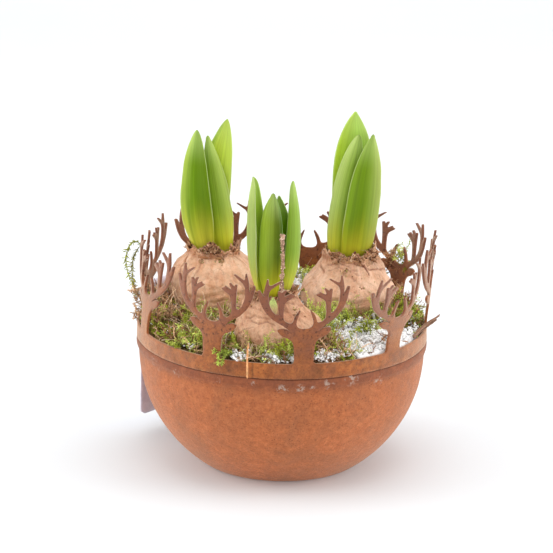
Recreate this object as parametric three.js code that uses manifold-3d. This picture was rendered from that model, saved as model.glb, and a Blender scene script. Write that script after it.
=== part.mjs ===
// Three hyacinth bulbs in leaf, planted with moss and snow in a rusted steel bowl.
// A strip cut with nine deer heads stands on the bowl's rim.
// Millimetres, +Z up, origin at the middle of the flat foot, front towards -Y.
// Azimuths are in degrees from the front, positive towards +X.

import * as THREE from 'three';
import { mergeVertices } from 'three/addons/utils/BufferGeometryUtils.js';
import Module from 'manifold-3d';

const wasm = await Module();
wasm.setup();

// Driving dimensions

const seam = 0.3;
const sheet = 1.5;
const turns = 60;
const rim = { radius: 95, bottom: 84, top: 93.9 };
const bowl = { radius: 93.6, depth: 91, middle: 76, wall: 1.6 };
const bead = { middle: 80.5, half: 3.5, bulge: 1.6 };
const soilTop = 82;
const cavityGap = 0.8;

// Each head's azimuth, outward lean, the extra lean of its right-hand antler, and its stretch
const headSpots = [
  { name: 'head_front', azimuth: 8.4, lean: 4, twist: -3, spread: 0.94, rise: 1 },
  { name: 'head_front_right', azimuth: 48.4, lean: 10, twist: -8, spread: 0.97, rise: 1 },
  { name: 'head_right', azimuth: 87, lean: 5, twist: 3, spread: 1, rise: 1.01 },
  { name: 'head_back_right', azimuth: 125.7, lean: 3, twist: -1, spread: 1, rise: 1 },
  { name: 'head_back', azimuth: 169.2, lean: -4, twist: -5, spread: 0.98, rise: 1.01 },
  { name: 'head_back_left', azimuth: -149.9, lean: 0, twist: 4, spread: 1, rise: 1 },
  { name: 'head_left_rear', azimuth: -105.9, lean: -4, twist: -4, spread: 0.96, rise: 1.02 },
  { name: 'head_left', azimuth: -71, lean: -5, twist: -3, spread: 1, rise: 1.02 },
  { name: 'head_front_left', azimuth: -27.9, lean: -1, twist: 1, spread: 0.94, rise: 1.01 },
];
const headNeck = 14;
const headReach = 31;

const bulbs = {
  left: {
    centre: [-44.5, 34.5, 99], radius: 31, shoulder: 1,
    neck: [-46, 36.5, 133], neckRadius: 15.8, bore: 14.7, wrap: 56,
  },
  right: {
    centre: [43.5, 37, 98], radius: 32.5, shoulder: 0,
    neck: [44.5, 38, 130], neckRadius: 16.6, bore: 15.6, wrap: 56,
  },
  front: {
    centre: [-2, -45, 97], radius: 29, shoulder: 0,
    neck: [-7, -45, 127.5], neckRadius: 13.4, bore: 12.3, wrap: 50,
  },
};
const boreDepth = 9;

const colours = {
  rust: 0x9c5a3c,
  rustDark: 0x7d4632,
  soil: 0x3a2a20,
  tunic: 0xd2a67c,
  leaf: 0x6fa02c,
  moss: 0x6f8c2a,
  straw: 0xa88a5c,
  snow: 0xeef0f2,
  stalk: 0xb89a74,
  bark: 0x6f5340,
  label: 0xe8e4ea,
};

const group = new THREE.Group();

function place(name, geometry, colour, roughness = 0.85, metalness = 0) {
  const material = new THREE.MeshStandardMaterial({ color: colour, roughness, metalness });
  const mesh = new THREE.Mesh(geometry, material);
  mesh.name = name;
  group.add(mesh);
}

// Shared tools

function radians(degrees) {
  return degrees * Math.PI / 180;
}

function draws(seed) {
  let state = seed;
  return (low, high) => {
    state = (state * 1664525 + 1013904223) % 4294967296;
    return low + (high - low) * state / 4294967296;
  };
}

function onCircle(azimuth, radius, z) {
  const angle = radians(azimuth);
  return new THREE.Vector3(radius * Math.sin(angle), -radius * Math.cos(angle), z);
}

function welded(geometry) {
  const bare = geometry.clone();
  bare.deleteAttribute('normal');
  bare.deleteAttribute('uv');
  const merged = mergeVertices(bare, 1e-4);
  const corners = merged.index.array;
  const kept = [];
  for (let i = 0; i < corners.length; i += 3) {
    const [a, b, c] = corners.slice(i, i + 3);
    if (a !== b && b !== c && c !== a) kept.push(a, b, c);
  }
  merged.setIndex(kept);
  return merged;
}

function solid(geometry) {
  const clean = welded(geometry);
  return new wasm.Manifold(new wasm.Mesh({
    numProp: 3,
    vertProperties: Float32Array.from(clean.attributes.position.array),
    triVerts: Uint32Array.from(clean.index.array),
  }));
}

function surface(body) {
  const { vertProperties, triVerts } = body.getMesh();
  const geometry = new THREE.BufferGeometry();
  geometry.setAttribute('position', new THREE.BufferAttribute(vertProperties, 3));
  geometry.setIndex(new THREE.BufferAttribute(triVerts, 1));
  return geometry;
}

// A closed skin over rings of points. A ring runs out along one face and back along the other,
// so its ends are closed by pairing the points of the two faces.
function skin(rings) {
  const count = rings[0].length;
  const index = [];
  for (let row = 0; row + 1 < rings.length; row++) {
    for (let side = 0; side < count; side++) {
      const a = row * count + side;
      const b = row * count + (side + 1) % count;
      index.push(a, b, b + count, a, b + count, a + count);
    }
  }
  const end = (rings.length - 1) * count;
  for (let i = 0; i + 1 < count / 2; i++) {
    const j = count - 1 - i;
    index.push(i, j, i + 1, i + 1, j, j - 1);
    index.push(end + i, end + i + 1, end + j, end + i + 1, end + j - 1, end + j);
  }
  const geometry = new THREE.BufferGeometry();
  const points = rings.flat().flatMap((point) => point.toArray());
  geometry.setAttribute('position', new THREE.Float32BufferAttribute(points, 3));
  geometry.setIndex(index);
  return geometry;
}

function turned(profile, segments) {
  const points = profile.map(([radius, z]) => new THREE.Vector2(radius, z));
  const geometry = new THREE.LatheGeometry(points, segments);
  geometry.rotateX(Math.PI / 2);
  return welded(geometry);
}

function reshape(geometry, move) {
  const position = geometry.attributes.position;
  const point = new THREE.Vector3();
  for (let i = 0; i < position.count; i++) {
    point.fromBufferAttribute(position, i);
    move(point);
    position.setXYZ(i, point.x, point.y, point.z);
  }
  return geometry;
}

// Bowl, with its half-round bead, and the ring of the cut strip

function bowlArc(inset, fromZ, steps) {
  const start = Math.asin((bowl.middle - fromZ) / bowl.depth);
  const arc = [];
  for (let i = 0; i <= steps; i++) {
    const angle = start * (1 - i / steps);
    const radius = bowl.radius * Math.cos(angle) - inset;
    arc.push([radius, bowl.middle - bowl.depth * Math.sin(angle)]);
  }
  return arc;
}

function bowlBody() {
  const foot = bowlArc(0, 0, 8);
  const outside = [];
  for (let i = 1; i < 5; i++) {
    const angle = Math.PI * (i / 5 - 0.5);
    const radius = bowl.radius + bead.bulge * Math.cos(angle);
    outside.push([radius, bead.middle + bead.half * Math.sin(angle)]);
  }
  const inside = bowlArc(bowl.wall, bowl.wall, 6).reverse();
  return turned([
    [0, 0],
    ...foot,
    ...outside,
    [bowl.radius, rim.bottom],
    [bowl.radius - bowl.wall, rim.bottom],
    ...inside,
    [0, bowl.wall],
  ], turns);
}

function rimStrip() {
  return turned([
    [rim.radius - sheet, rim.bottom],
    [rim.radius, rim.bottom],
    [rim.radius, rim.top],
    [rim.radius - sheet, rim.top],
    [rim.radius - sheet, rim.bottom],
  ], turns);
}

// Deer head, drawn flat: across from its middle line and up from the strip's edge

const halfHead = [
  [6.2, 0], [6.8, 10.6], [7.5, 14.3],
  [9.7, 17.0], [15.4, 19.1], [18.9, 23.4], [13.2, 24.4], [8.1, 20.9],
  [13.2, 25.3], [20.5, 29.4], [26.0, 35.0], [29.2, 41.6], [30.9, 49.3],
  [29.3, 49.7], [26.4, 44.2],
  [26.6, 49.7], [24.8, 57.0], [23.9, 57.0], [23.5, 52.0],
  [16.3, 55.9], [15.4, 55.4], [22.6, 50.0],
  [23.8, 47.0], [23.5, 40.5], [21.6, 35.9], [19.1, 33.4], [17.4, 33.2],
  [17.3, 40.5], [18.1, 49.0], [16.8, 49.4], [15.8, 47.8],
  [13.0, 50.1], [12.3, 49.4], [14.6, 45.0],
  [9.2, 47.8], [9.0, 46.8], [6.8, 46.2], [7.4, 45.3], [13.6, 41.6],
  [14.3, 33.6], [14.0, 29.9], [12.3, 28.1], [8.4, 27.1],
  [6.8, 32.4], [3.8, 36.4], [3.2, 35.8], [5.5, 29.2], [5.7, 26.7],
  [4.6, 24.7], [2.2, 23.7],
];

function deerHead(spot) {
  const mirrored = halfHead.map(([across, up]) => [-across, up]).reverse();
  const outline = [...halfHead, ...mirrored].map(([across, up]) => new THREE.Vector2(across, up));
  const shape = new THREE.Shape(outline);
  const plate = new THREE.ExtrudeGeometry(shape, { depth: sheet, bevelEnabled: false });
  const bent = reshape(plate, (point) => {
    const free = Math.min(point.y / headNeck, 1);
    const across = point.x * THREE.MathUtils.lerp(1, spot.spread, free);
    const up = point.y * THREE.MathUtils.lerp(1, spot.rise, free);
    const lean = radians(free * (spot.lean + spot.twist * across / headReach));
    const azimuth = spot.azimuth + across / radians(rim.radius);
    const radius = rim.radius - sheet + point.z + up * Math.sin(lean);
    point.copy(onCircle(azimuth, radius, rim.top + up * Math.cos(lean)));
  });
  return welded(bent);
}

// Bulbs: a ribbed papery globe that narrows to a ragged neck, with a plain bore for the shoot

function bulbProfile(bulb, extra) {
  const { radius, shoulder } = bulb;
  return [
    [0, -0.8],
    [0.28, -0.8],
    [0.64, -0.66],
    [0.9, -0.36],
    [1, 0],
    [0.985, 0.18 + 0.1 * shoulder],
    [0.92, 0.36 + 0.2 * shoulder],
    [0.73 + 0.08 * shoulder, 0.58 + 0.14 * shoulder],
  ].map(([out, up]) => [out * radius + (out ? extra : 0), up * (radius + extra)]);
}

function bulbBody(bulb, seed) {
  const [x, y, z] = bulb.centre;
  const neckTop = bulb.neck[2] - z;
  const draw = draws(seed);
  const profile = [
    ...bulbProfile(bulb, 0),
    [bulb.neckRadius + 2.4 + 1.4 * bulb.shoulder, neckTop - 7.5],
    [bulb.neckRadius + 0.8, neckTop - 4],
    [bulb.neckRadius + 1.8, neckTop],
    [bulb.bore + 0.4, neckTop - 0.4],
    [bulb.bore, neckTop - boreDepth],
    [0, neckTop - boreDepth],
  ];
  const phase = draw(0, 6);
  return reshape(turned(profile, 26), (point) => {
    const angle = Math.atan2(point.y, point.x);
    const out = Math.hypot(point.x, point.y);
    const rise = THREE.MathUtils.smoothstep(point.z, 0.3 * bulb.radius, 0.8 * bulb.radius);
    const outside = out > bulb.bore + 1 && point.z > -0.7 * bulb.radius;
    const rib = outside ? 0.35 * Math.cos(13 * angle) * (1 - rise) : 0;
    const scale = out > 0 ? (out + rib) / out : 1;
    const ragged = out > bulb.bore + 0.2 && point.z > neckTop - 2;
    const tear = ragged ? 1.1 * Math.sin(5 * angle + phase) + draw(-0.9, 0.6) : 0;
    point.set(
      x + point.x * scale + (bulb.neck[0] - x) * rise,
      y + point.y * scale + (bulb.neck[1] - y) * rise,
      z + point.z + tear,
    );
  });
}

function bulbCavity(bulb) {
  const [x, y, z] = bulb.centre;
  const profile = bulbProfile(bulb, cavityGap);
  const top = profile[profile.length - 1];
  return solid(turned([...profile, [0, top[1]]], 26).translate(x, y, z));
}

const cavities = Object.values(bulbs).map(bulbCavity);

function potFill() {
  const wall = bowlArc(bowl.wall + seam, bowl.wall + seam, 6);
  const under = wall.filter(([, z]) => z < soilTop - 4);
  const body = turned([
    [0, bowl.wall + seam],
    ...under,
    [bowl.radius - bowl.wall - 2 * seam, soilTop],
    [0, soilTop],
  ], turns / 2);
  return cavities.reduce((rest, cavity) => rest.subtract(cavity), solid(body));
}

// Leaves: a long blade, rolled across its width and hooded at its tip

const leafSteps = 10;
const leafAcross = [-1, -0.55, 0, 0.55, 1];

function leafWidth(t, leaf) {
  if (t < 0.4) return THREE.MathUtils.lerp(leaf.waist, 1, Math.sin(Math.PI / 2 * t / 0.4) ** 1.4);
  const [reach, bluntness] = leaf.taper;
  return Math.max(Math.cos(Math.PI / 2 * ((t - 0.4) / 0.6) ** reach), 0) ** bluntness;
}

function leafRings(plant, leaf, footHeight) {
  const axis = new THREE.Vector3(...plant.neck);
  const back = onCircle(leaf.facing, 1, 0);
  const aside = onCircle(leaf.azimuth, 1, 0);
  const foot = axis.clone().addScaledVector(aside, leaf.base);
  foot.z = footHeight;
  const tip = axis.clone().add(new THREE.Vector3(...leaf.tip));
  const middle = foot.clone().lerp(tip, 0.38).addScaledVector(aside, 2 * leaf.belly);
  const spine = new THREE.QuadraticBezierCurve3(foot, middle, tip);
  const rings = [];
  for (let i = 0; i <= leafSteps; i++) {
    const t = (i / leafSteps) ** 0.92;
    const along = spine.getTangent(t);
    const out = back.clone().addScaledVector(along, -back.dot(along)).normalize();
    const side = new THREE.Vector3().crossVectors(along, out).normalize();
    const roll = radians(THREE.MathUtils.lerp(plant.wrap, leaf.roll, Math.min(t * 1.6, 1)));
    const half = Math.max(leaf.width / 2 * leafWidth(t, leaf), 0.9);
    const radius = half / Math.sin(roll);
    const centre = spine.getPoint(t).addScaledVector(out, -radius);
    const face = (share, across) => {
      const thickness = 1.5 - 0.75 * across * across;
      const reach = radius - share * thickness;
      const angle = roll * across;
      const point = centre.clone().addScaledVector(side, reach * Math.sin(angle));
      return point.addScaledVector(out, reach * Math.cos(angle));
    };
    rings.push([
      ...leafAcross.map((across) => face(0, across)),
      ...leafAcross.map((across) => face(1, across)).reverse(),
    ]);
  }
  return rings;
}

function leafBody(plant, leaf) {
  const floor = plant.neck[2] - boreDepth + seam;
  const lowest = Math.min(...leafRings(plant, leaf, floor)[0].map((point) => point.z));
  return skin(leafRings(plant, leaf, 2 * floor - lowest));
}

// Each leaf's foot and bow lie at its azimuth; its outer face looks towards its facing.
// Its foot is as wide as its waist, and it narrows above the middle as its taper says.
const leaves = {
  left: [
    {
      name: 'outer', azimuth: -51, facing: -28, base: 8.1, width: 23.9, waist: 0.61,
      belly: 7.5, roll: 43, taper: [1.09, 0.59], tip: [-12.1, -6.1, 80.3],
    },
    {
      name: 'middle', azimuth: 77, facing: 27, base: 8.2, width: 19.2, waist: 0.65,
      belly: 1.6, roll: 42, taper: [1.02, 0.63], tip: [-5.2, -2, 75.6],
    },
    {
      name: 'back', azimuth: 225, facing: 188, base: 9, width: 26.4, waist: 0.5,
      belly: 4.4, roll: 32, taper: [0.98, 0.62], tip: [7.5, 8.5, 84.6],
    },
  ],
  right: [
    {
      name: 'back', azimuth: 176, facing: 171, base: 11, width: 27.5, waist: 0.64,
      belly: 3.6, roll: 43, taper: [2.44, 0.86], tip: [1.3, 9.2, 93.6],
    },
    {
      name: 'left', azimuth: -74, facing: -17, base: 9.1, width: 18.4, waist: 0.72,
      belly: 3.7, roll: 41, taper: [1.47, 0.57], tip: [3.7, -1.7, 80.4],
    },
    {
      name: 'outer', azimuth: 18, facing: 17, base: 10.2, width: 23.5, waist: 0.79,
      belly: 2.9, roll: 39, taper: [1.61, 0.81], tip: [12.9, -5.1, 81.8],
    },
  ],
  front: [
    {
      name: 'left', azimuth: -83, facing: -106, base: 5.7, width: 22, waist: 0.42,
      belly: 6.8, roll: 86, taper: [0.95, 0.47], tip: [-13.4, -1.3, 74.8],
    },
    {
      name: 'centre', azimuth: -3, facing: 5, base: 8.7, width: 15, waist: 0.39,
      belly: 4.4, roll: 54, taper: [2.49, 0.78], tip: [-0.4, -4, 64.8],
    },
    {
      name: 'rear', azimuth: 150, facing: 183, base: 7.7, width: 17.2, waist: 0.42,
      belly: 2.9, roll: 49, taper: [1.47, 0.68], tip: [3.4, 5, 61.1],
    },
    {
      name: 'right', azimuth: 87, facing: 46, base: 7.1, width: 13.3, waist: 0.38,
      belly: 6.2, roll: 70, taper: [0.95, 0.45], tip: [12.3, -1, 72.3],
    },
  ],
};

// Moss and snow: cushions between the bulbs and the rim, with sprigs or granules grown into them

const cushionEdge = rim.radius - sheet - 2.1;
const sprigRadius = 1.3;
const sprigSink = 2.5;

function lump(x, y) {
  return 1.2 * Math.sin(0.19 * x + 1.3) * Math.cos(0.16 * y) + 0.8 * Math.sin(0.37 * x - 0.29 * y);
}

function cushion(patch) {
  const across = Math.max(3, Math.round((patch.to - patch.from) / 9));
  const rows = Math.max(2, Math.round((cushionEdge - patch.inner) / 11));
  const rings = [];
  for (let i = 0; i <= across; i++) {
    const azimuth = THREE.MathUtils.lerp(patch.from, patch.to, i / across);
    const upper = [];
    const lower = [];
    for (let j = 0; j <= rows; j++) {
      const radius = THREE.MathUtils.lerp(patch.inner, cushionEdge, j / rows);
      const top = onCircle(azimuth, radius, 0);
      top.z = rim.top + patch.rise + lump(top.x, top.y);
      if (radius > rim.radius - 8) top.z = Math.min(top.z, rim.top + patch.edge);
      upper.push(top);
      lower.push(onCircle(azimuth, radius, soilTop + seam));
    }
    rings.push([...upper, ...lower.reverse()]);
  }
  return cavities.reduce((rest, cavity) => rest.subtract(cavity), solid(skin(rings)));
}

function sprig(draw, spot, length) {
  const shape = new THREE.ConeGeometry(sprigRadius, length, 3, 1);
  shape.translate(0, length / 2 - sprigSink, 0);
  shape.rotateX(Math.PI / 2 + draw(-0.9, 0.9));
  shape.rotateZ(draw(0, 6.28));
  return solid(shape.translate(spot.x, spot.y, spot.z));
}

function granule(draw, spot, size) {
  const shape = new THREE.OctahedronGeometry(size, 0);
  shape.rotateX(draw(0, 3));
  shape.rotateY(draw(0, 3));
  return solid(shape.translate(spot.x, spot.y, spot.z + 0.2 * size));
}

function clearOfBulbs(spot, distance) {
  return Object.values(bulbs).every((bulb) => {
    const [x, y] = bulb.centre;
    return Math.hypot(spot.x - x, spot.y - y) > bulb.radius + distance;
  });
}

function planted(patch) {
  const draw = draws(patch.seed);
  let body = cushion(patch);
  let made = 0;
  while (made < patch.count) {
    const azimuth = draw(patch.from + 3, patch.to - 3);
    const spot = onCircle(azimuth, draw(patch.inner + 3, cushionEdge - 4), 0);
    if (!clearOfBulbs(spot, 4.5)) continue;
    spot.z = rim.top + patch.rise + lump(spot.x, spot.y);
    const snowy = patch.name.startsWith('snow');
    const piece = snowy ? granule(draw, spot, draw(1.5, 2.6)) : sprig(draw, spot, draw(8, 12));
    body = body.add(piece);
    made++;
  }
  return body;
}

const patches = [
  { name: 'moss_front', from: -31, to: 13, inner: 62, rise: -1, edge: -0.5, count: 9, seed: 11 },
  { name: 'snow_front_left', from: -46, to: -32, inner: 34, rise: -1, edge: -1, count: 8, seed: 12 },
  { name: 'moss_front_left', from: -92, to: -47, inner: 18, rise: 0, edge: 0, count: 14, seed: 13 },
  { name: 'straw_moss_left', from: -110, to: -93, inner: 70, rise: 1, edge: 1, count: 5, seed: 14 },
  { name: 'moss_back_left', from: -178, to: -147, inner: 20, rise: 3, edge: 3, count: 8, seed: 15 },
  { name: 'snow_back', from: -212, to: -179, inner: 20, rise: 3, edge: 3, count: 10, seed: 16 },
  { name: 'straw_moss_back_right', from: 101, to: 147, inner: 78, rise: 2, edge: 2, count: 4, seed: 17 },
  { name: 'moss_right', from: 76, to: 100, inner: 20, rise: 0.5, edge: 0.5, count: 8, seed: 18 },
  { name: 'snow_front_right', from: 31, to: 75, inner: 18, rise: 0, edge: 0, count: 16, seed: 19 },
  { name: 'straw_moss_front', from: 14, to: 30, inner: 34, rise: 0, edge: 0, count: 8, seed: 20 },
];

// Dry stalk, straw, splinter and label

function dryStalk() {
  const draw = draws(5);
  const foot = new THREE.Vector3(-0.6, -64, 117.2);
  const rings = [];
  for (let i = 0; i <= 12; i++) {
    const middle = foot.clone().add(new THREE.Vector3(0.25 * Math.sin(i), 0.25 * i, 4.3 * i));
    const radius = (i % 2 ? 1.7 : 1.2) + draw(-0.1, 0.2);
    rings.push(ringAround(middle, radius, 6));
  }
  return skin(rings);
}

function ringAround(middle, radius, sides) {
  const ring = [];
  for (let i = 0; i < sides; i++) {
    const angle = 2 * Math.PI * i / sides;
    const point = new THREE.Vector3(radius * Math.cos(angle), radius * Math.sin(angle), 0);
    ring.push(point.add(middle));
  }
  return ring;
}

function flatRun(points, across, width, thickness) {
  const path = new THREE.CatmullRomCurve3(points.map((point) => new THREE.Vector3(...point)));
  const rings = [];
  for (let i = 0; i <= 10; i++) {
    const centre = path.getPoint(i / 10);
    const along = path.getTangent(i / 10);
    const up = new THREE.Vector3().crossVectors(across, along).normalize();
    const middle = (a, b) => centre.clone().addScaledVector(across, a).addScaledVector(up, b);
    const corner = (a, b) => middle(a * width / 2, b * thickness / 2);
    rings.push([corner(-1, 1), corner(1, 1), corner(1, -1), corner(-1, -1)]);
  }
  return skin(rings);
}

function plantLabel() {
  const label = {
    azimuth: -127.8, width: 55, thickness: 0.8, outside: 99, inside: 88.1, bottom: 13, crest: 102,
  };
  const bend = (label.outside - label.inside) / 2;
  const middle = (label.outside + label.inside) / 2;
  const outline = new THREE.Shape();
  outline.moveTo(label.outside, label.bottom);
  outline.lineTo(label.outside, label.crest);
  outline.absarc(middle, label.crest, bend, 0, Math.PI, false);
  outline.lineTo(label.inside, rim.bottom + 2 * seam);
  outline.lineTo(label.inside + label.thickness, rim.bottom + 2 * seam);
  outline.lineTo(label.inside + label.thickness, label.crest);
  outline.absarc(middle, label.crest, bend - label.thickness, Math.PI, 0, true);
  outline.lineTo(label.outside - label.thickness, label.bottom);
  outline.closePath();
  const options = { depth: label.width, bevelEnabled: false, curveSegments: 8 };
  const card = new THREE.ExtrudeGeometry(outline, options);
  const outward = onCircle(label.azimuth, 1, 0);
  const along = new THREE.Vector3().crossVectors(outward, new THREE.Vector3(0, 0, 1));
  return welded(reshape(card, (point) => {
    const shift = point.z - label.width / 2;
    const height = point.y;
    point.copy(outward.clone().multiplyScalar(point.x).addScaledVector(along, shift));
    point.z = height;
  }));
}

place('bowl', bowlBody(), colours.rust, 0.8, 0.3);
place('rim_strip', rimStrip(), colours.rust, 0.8, 0.3);
for (const spot of headSpots) place(spot.name, deerHead(spot), colours.rustDark, 0.8, 0.3);
place('potting_soil', surface(potFill()), colours.soil, 1);
Object.entries(bulbs).forEach(([name, bulb], i) => {
  place(`bulb_${name}`, bulbBody(bulb, 3 + i), colours.tunic, 0.6);
  for (const leaf of leaves[name]) {
    place(`leaf_${name}_${leaf.name}`, leafBody(bulb, leaf), colours.leaf, 0.45);
  }
});
for (const patch of patches) {
  const kind = ['snow', 'straw', 'moss'].find((word) => patch.name.startsWith(word));
  place(patch.name, surface(planted(patch)), colours[kind], 0.9);
}
place('dry_stalk', dryStalk(), colours.stalk, 0.9);
place('straw_blade', flatRun(
  [[-20.5, -80, 103.3], [-21.5, -88, 100], [-22.3, -93.7, 95.3], [-22.6, -93.4, 90], [-22.7, -93.2, 85]],
  new THREE.Vector3(1, 0, 0), 1.6, 0.8,
), colours.straw, 0.8);
place('bark_splinter', flatRun(
  [[84.5, -38, 94.8], [88.5, -29.5, 96.3], [93.5, -22.5, 98.3], [100, -17, 101]],
  new THREE.Vector3(0.5, -0.8, 0.2).normalize(), 4, 1.4,
), colours.bark, 0.9);
place('plant_label', plantLabel(), colours.label, 0.5);

export default group;
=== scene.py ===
"""Three hyacinths in moss and snow in a rusted steel bowl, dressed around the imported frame.

Shapes are written in millimetres, with +Z up and the front towards -Y, and stored in metres.
Azimuths are in degrees from the front, positive towards +X.
"""

import math

import bmesh
import bpy
import numpy as np
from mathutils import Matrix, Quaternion, Vector
from mathutils.geometry import delaunay_2d_cdt


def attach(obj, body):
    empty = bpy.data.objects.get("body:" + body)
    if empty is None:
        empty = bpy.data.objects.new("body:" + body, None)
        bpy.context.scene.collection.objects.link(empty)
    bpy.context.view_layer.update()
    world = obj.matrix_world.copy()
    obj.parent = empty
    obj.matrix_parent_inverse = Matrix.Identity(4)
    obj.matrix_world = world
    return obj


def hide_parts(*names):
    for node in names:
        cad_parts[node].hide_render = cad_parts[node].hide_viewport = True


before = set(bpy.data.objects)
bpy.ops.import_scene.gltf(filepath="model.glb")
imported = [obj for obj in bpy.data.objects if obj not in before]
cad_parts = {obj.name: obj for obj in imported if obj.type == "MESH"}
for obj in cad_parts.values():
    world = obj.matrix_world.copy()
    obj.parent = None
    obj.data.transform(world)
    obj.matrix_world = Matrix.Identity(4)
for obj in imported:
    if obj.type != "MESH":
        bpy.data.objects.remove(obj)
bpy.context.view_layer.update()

MM = 0.001
TAU = 2 * math.pi

# ---------------------------------------------------------------- sizes shared with the solids

SHEET = 1.5
RIM = {"radius": 95.0, "bottom": 84.0, "top": 93.9}
BOWL = {"radius": 93.6, "depth": 91.0, "middle": 76.0, "wall": 1.6}
BEAD = {"middle": 80.5, "half": 3.5, "bulge": 1.6}
SOIL_TOP = 82.0
CUSHION_EDGE = 91.4
BORE_DEPTH = 9.0
WELD_AZIMUTH = -12.0
MM_PER_DEGREE = 1.658  # along the strip

# Deer heads round the strip: name, azimuth, lean, twist, spread and rise
HEADS = [
    ("front", 8.4, 4, -3, 0.94, 1), ("front_right", 48.4, 10, -8, 0.97, 1),
    ("right", 87, 5, 3, 1, 1.01), ("back_right", 125.7, 3, -1, 1, 1),
    ("back", 169.2, -4, -5, 0.98, 1.01), ("back_left", 210.1, 0, 4, 1, 1),
    ("left_rear", 254.1, -4, -4, 0.96, 1.02), ("left", 289, -5, -3, 1, 1.02),
    ("front_left", 332.1, -1, 1, 0.94, 1.01),
]

# Half of a head's flat outline: distance from its middle line, and height
HALF_HEAD = [
    (8.2, 0), (7.4, 0.15), (6.8, 0.6), (6.4, 1.3), (6.25, 2.4), (6.8, 10.6), (7.5, 14.3),
    (9.7, 17.0), (15.4, 19.1), (18.9, 23.4), (13.2, 24.4), (8.1, 20.9),
    (13.2, 25.3), (20.5, 29.4), (26.0, 35.0), (29.2, 41.6), (30.9, 49.3),
    (29.3, 49.7), (26.4, 44.2),
    (26.6, 49.7), (24.8, 57.0), (23.9, 57.0), (23.5, 52.0),
    (16.3, 55.9), (15.4, 55.4), (22.6, 50.0),
    (23.8, 47.0), (23.5, 40.5), (21.6, 35.9), (19.1, 33.4), (17.4, 33.2),
    (17.3, 40.5), (18.1, 49.0), (16.8, 49.4), (15.8, 47.8),
    (13.0, 50.1), (12.3, 49.4), (14.6, 45.0),
    (9.2, 47.8), (9.0, 46.8), (6.8, 46.2), (7.4, 45.3), (13.6, 41.6),
    (14.3, 33.6), (14.0, 29.9), (12.3, 28.1), (8.4, 27.1),
    (6.8, 32.4), (3.8, 36.4), (3.2, 35.8), (5.5, 29.2), (5.7, 26.7),
    (4.6, 24.7), (2.2, 23.7),
]

BULBS = {
    "left": {
        "centre": (-44.5, 34.5, 99), "radius": 31, "shoulder": 1, "wrap": 56,
        "neck": (-46, 36.5, 133), "neck_radius": 15.8, "bore": 14.7,
    },
    "right": {
        "centre": (43.5, 37, 98), "radius": 32.5, "shoulder": 0, "wrap": 56,
        "neck": (44.5, 38, 130), "neck_radius": 16.6, "bore": 15.6,
    },
    "front": {
        "centre": (-2, -45, 97), "radius": 29, "shoulder": 0, "wrap": 50,
        "neck": (-7, -45, 127.5), "neck_radius": 13.4, "bore": 12.3,
    },
}

# Plant, leaf, azimuth of its foot, facing of its outer face, foot's distance, width, bow, tip,
# roll, taper and waist
LEAVES = [
    ("left", "outer", -51, -28, 8.1, 23.9, 7.5, (-12.1, -6.1, 80.3), 43, (1.09, 0.59), 0.61),
    ("left", "middle", 77, 27, 8.2, 19.2, 1.6, (-5.2, -2, 75.6), 42, (1.02, 0.63), 0.65),
    ("left", "back", 225, 188, 9, 26.4, 4.4, (7.5, 8.5, 84.6), 32, (0.98, 0.62), 0.5),
    ("right", "back", 176, 171, 11, 27.5, 3.6, (1.3, 9.2, 93.6), 43, (2.44, 0.86), 0.64),
    ("right", "left", -74, -17, 9.1, 18.4, 3.7, (3.7, -1.7, 80.4), 41, (1.47, 0.57), 0.72),
    ("right", "outer", 18, 17, 10.2, 23.5, 2.9, (12.9, -5.1, 81.8), 39, (1.61, 0.81), 0.79),
    ("front", "left", -83, -106, 5.7, 22, 6.8, (-13.4, -1.3, 74.8), 86, (0.95, 0.47), 0.42),
    ("front", "centre", -3, 5, 8.7, 15, 4.4, (-0.4, -4, 64.8), 54, (2.49, 0.78), 0.39),
    ("front", "rear", 150, 183, 7.7, 17.2, 2.9, (3.4, 5, 61.1), 49, (1.47, 0.68), 0.42),
    ("front", "right", 87, 46, 7.1, 13.3, 6.2, (12.3, -1, 72.3), 70, (0.95, 0.45), 0.38),
]

# ---------------------------------------------------------------- numbers and noise


def linear(code):
    """Linear colour of a hex code."""
    parts = [int(code[i:i + 2], 16) / 255 for i in (1, 3, 5)]
    return np.array([p / 12.92 if p <= 0.04045 else ((p + 0.055) / 1.055) ** 2.4 for p in parts])


def palette(*codes):
    return np.array([linear(code) for code in codes])


def smoothstep(value, low, high):
    t = np.clip((value - low) / (high - low), 0, 1)
    return t * t * (3 - 2 * t)


def stacked(*parts):
    return np.stack(np.broadcast_arrays(*parts), -1)


def on_circle(azimuth, radius, z):
    angle = np.radians(azimuth)
    return stacked(radius * np.sin(angle), -radius * np.cos(angle), z).astype(float)


def whole_turn(count):
    return np.linspace(0, 360, count, endpoint=False)[None, :]


def wrapped(degrees):
    return (degrees + 180) % 360 - 180


def azimuth_of(points):
    return np.degrees(np.arctan2(points[..., 0], -points[..., 1]))


def hashed(x, y, z, seed):
    """A number from -1 to 1 for each whole-numbered cell."""
    mask = np.int64(0xFFFFFFFF)
    h = (x * 374761393 + y * 668265263 + z * 1440662683 + seed * 1274126177) & mask
    h = ((h ^ (h >> 13)) * 1103515245) & mask
    h = ((h ^ (h >> 15)) * 668265263) & mask
    return (h ^ (h >> 16)) / 4294967295 * 2 - 1


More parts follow.
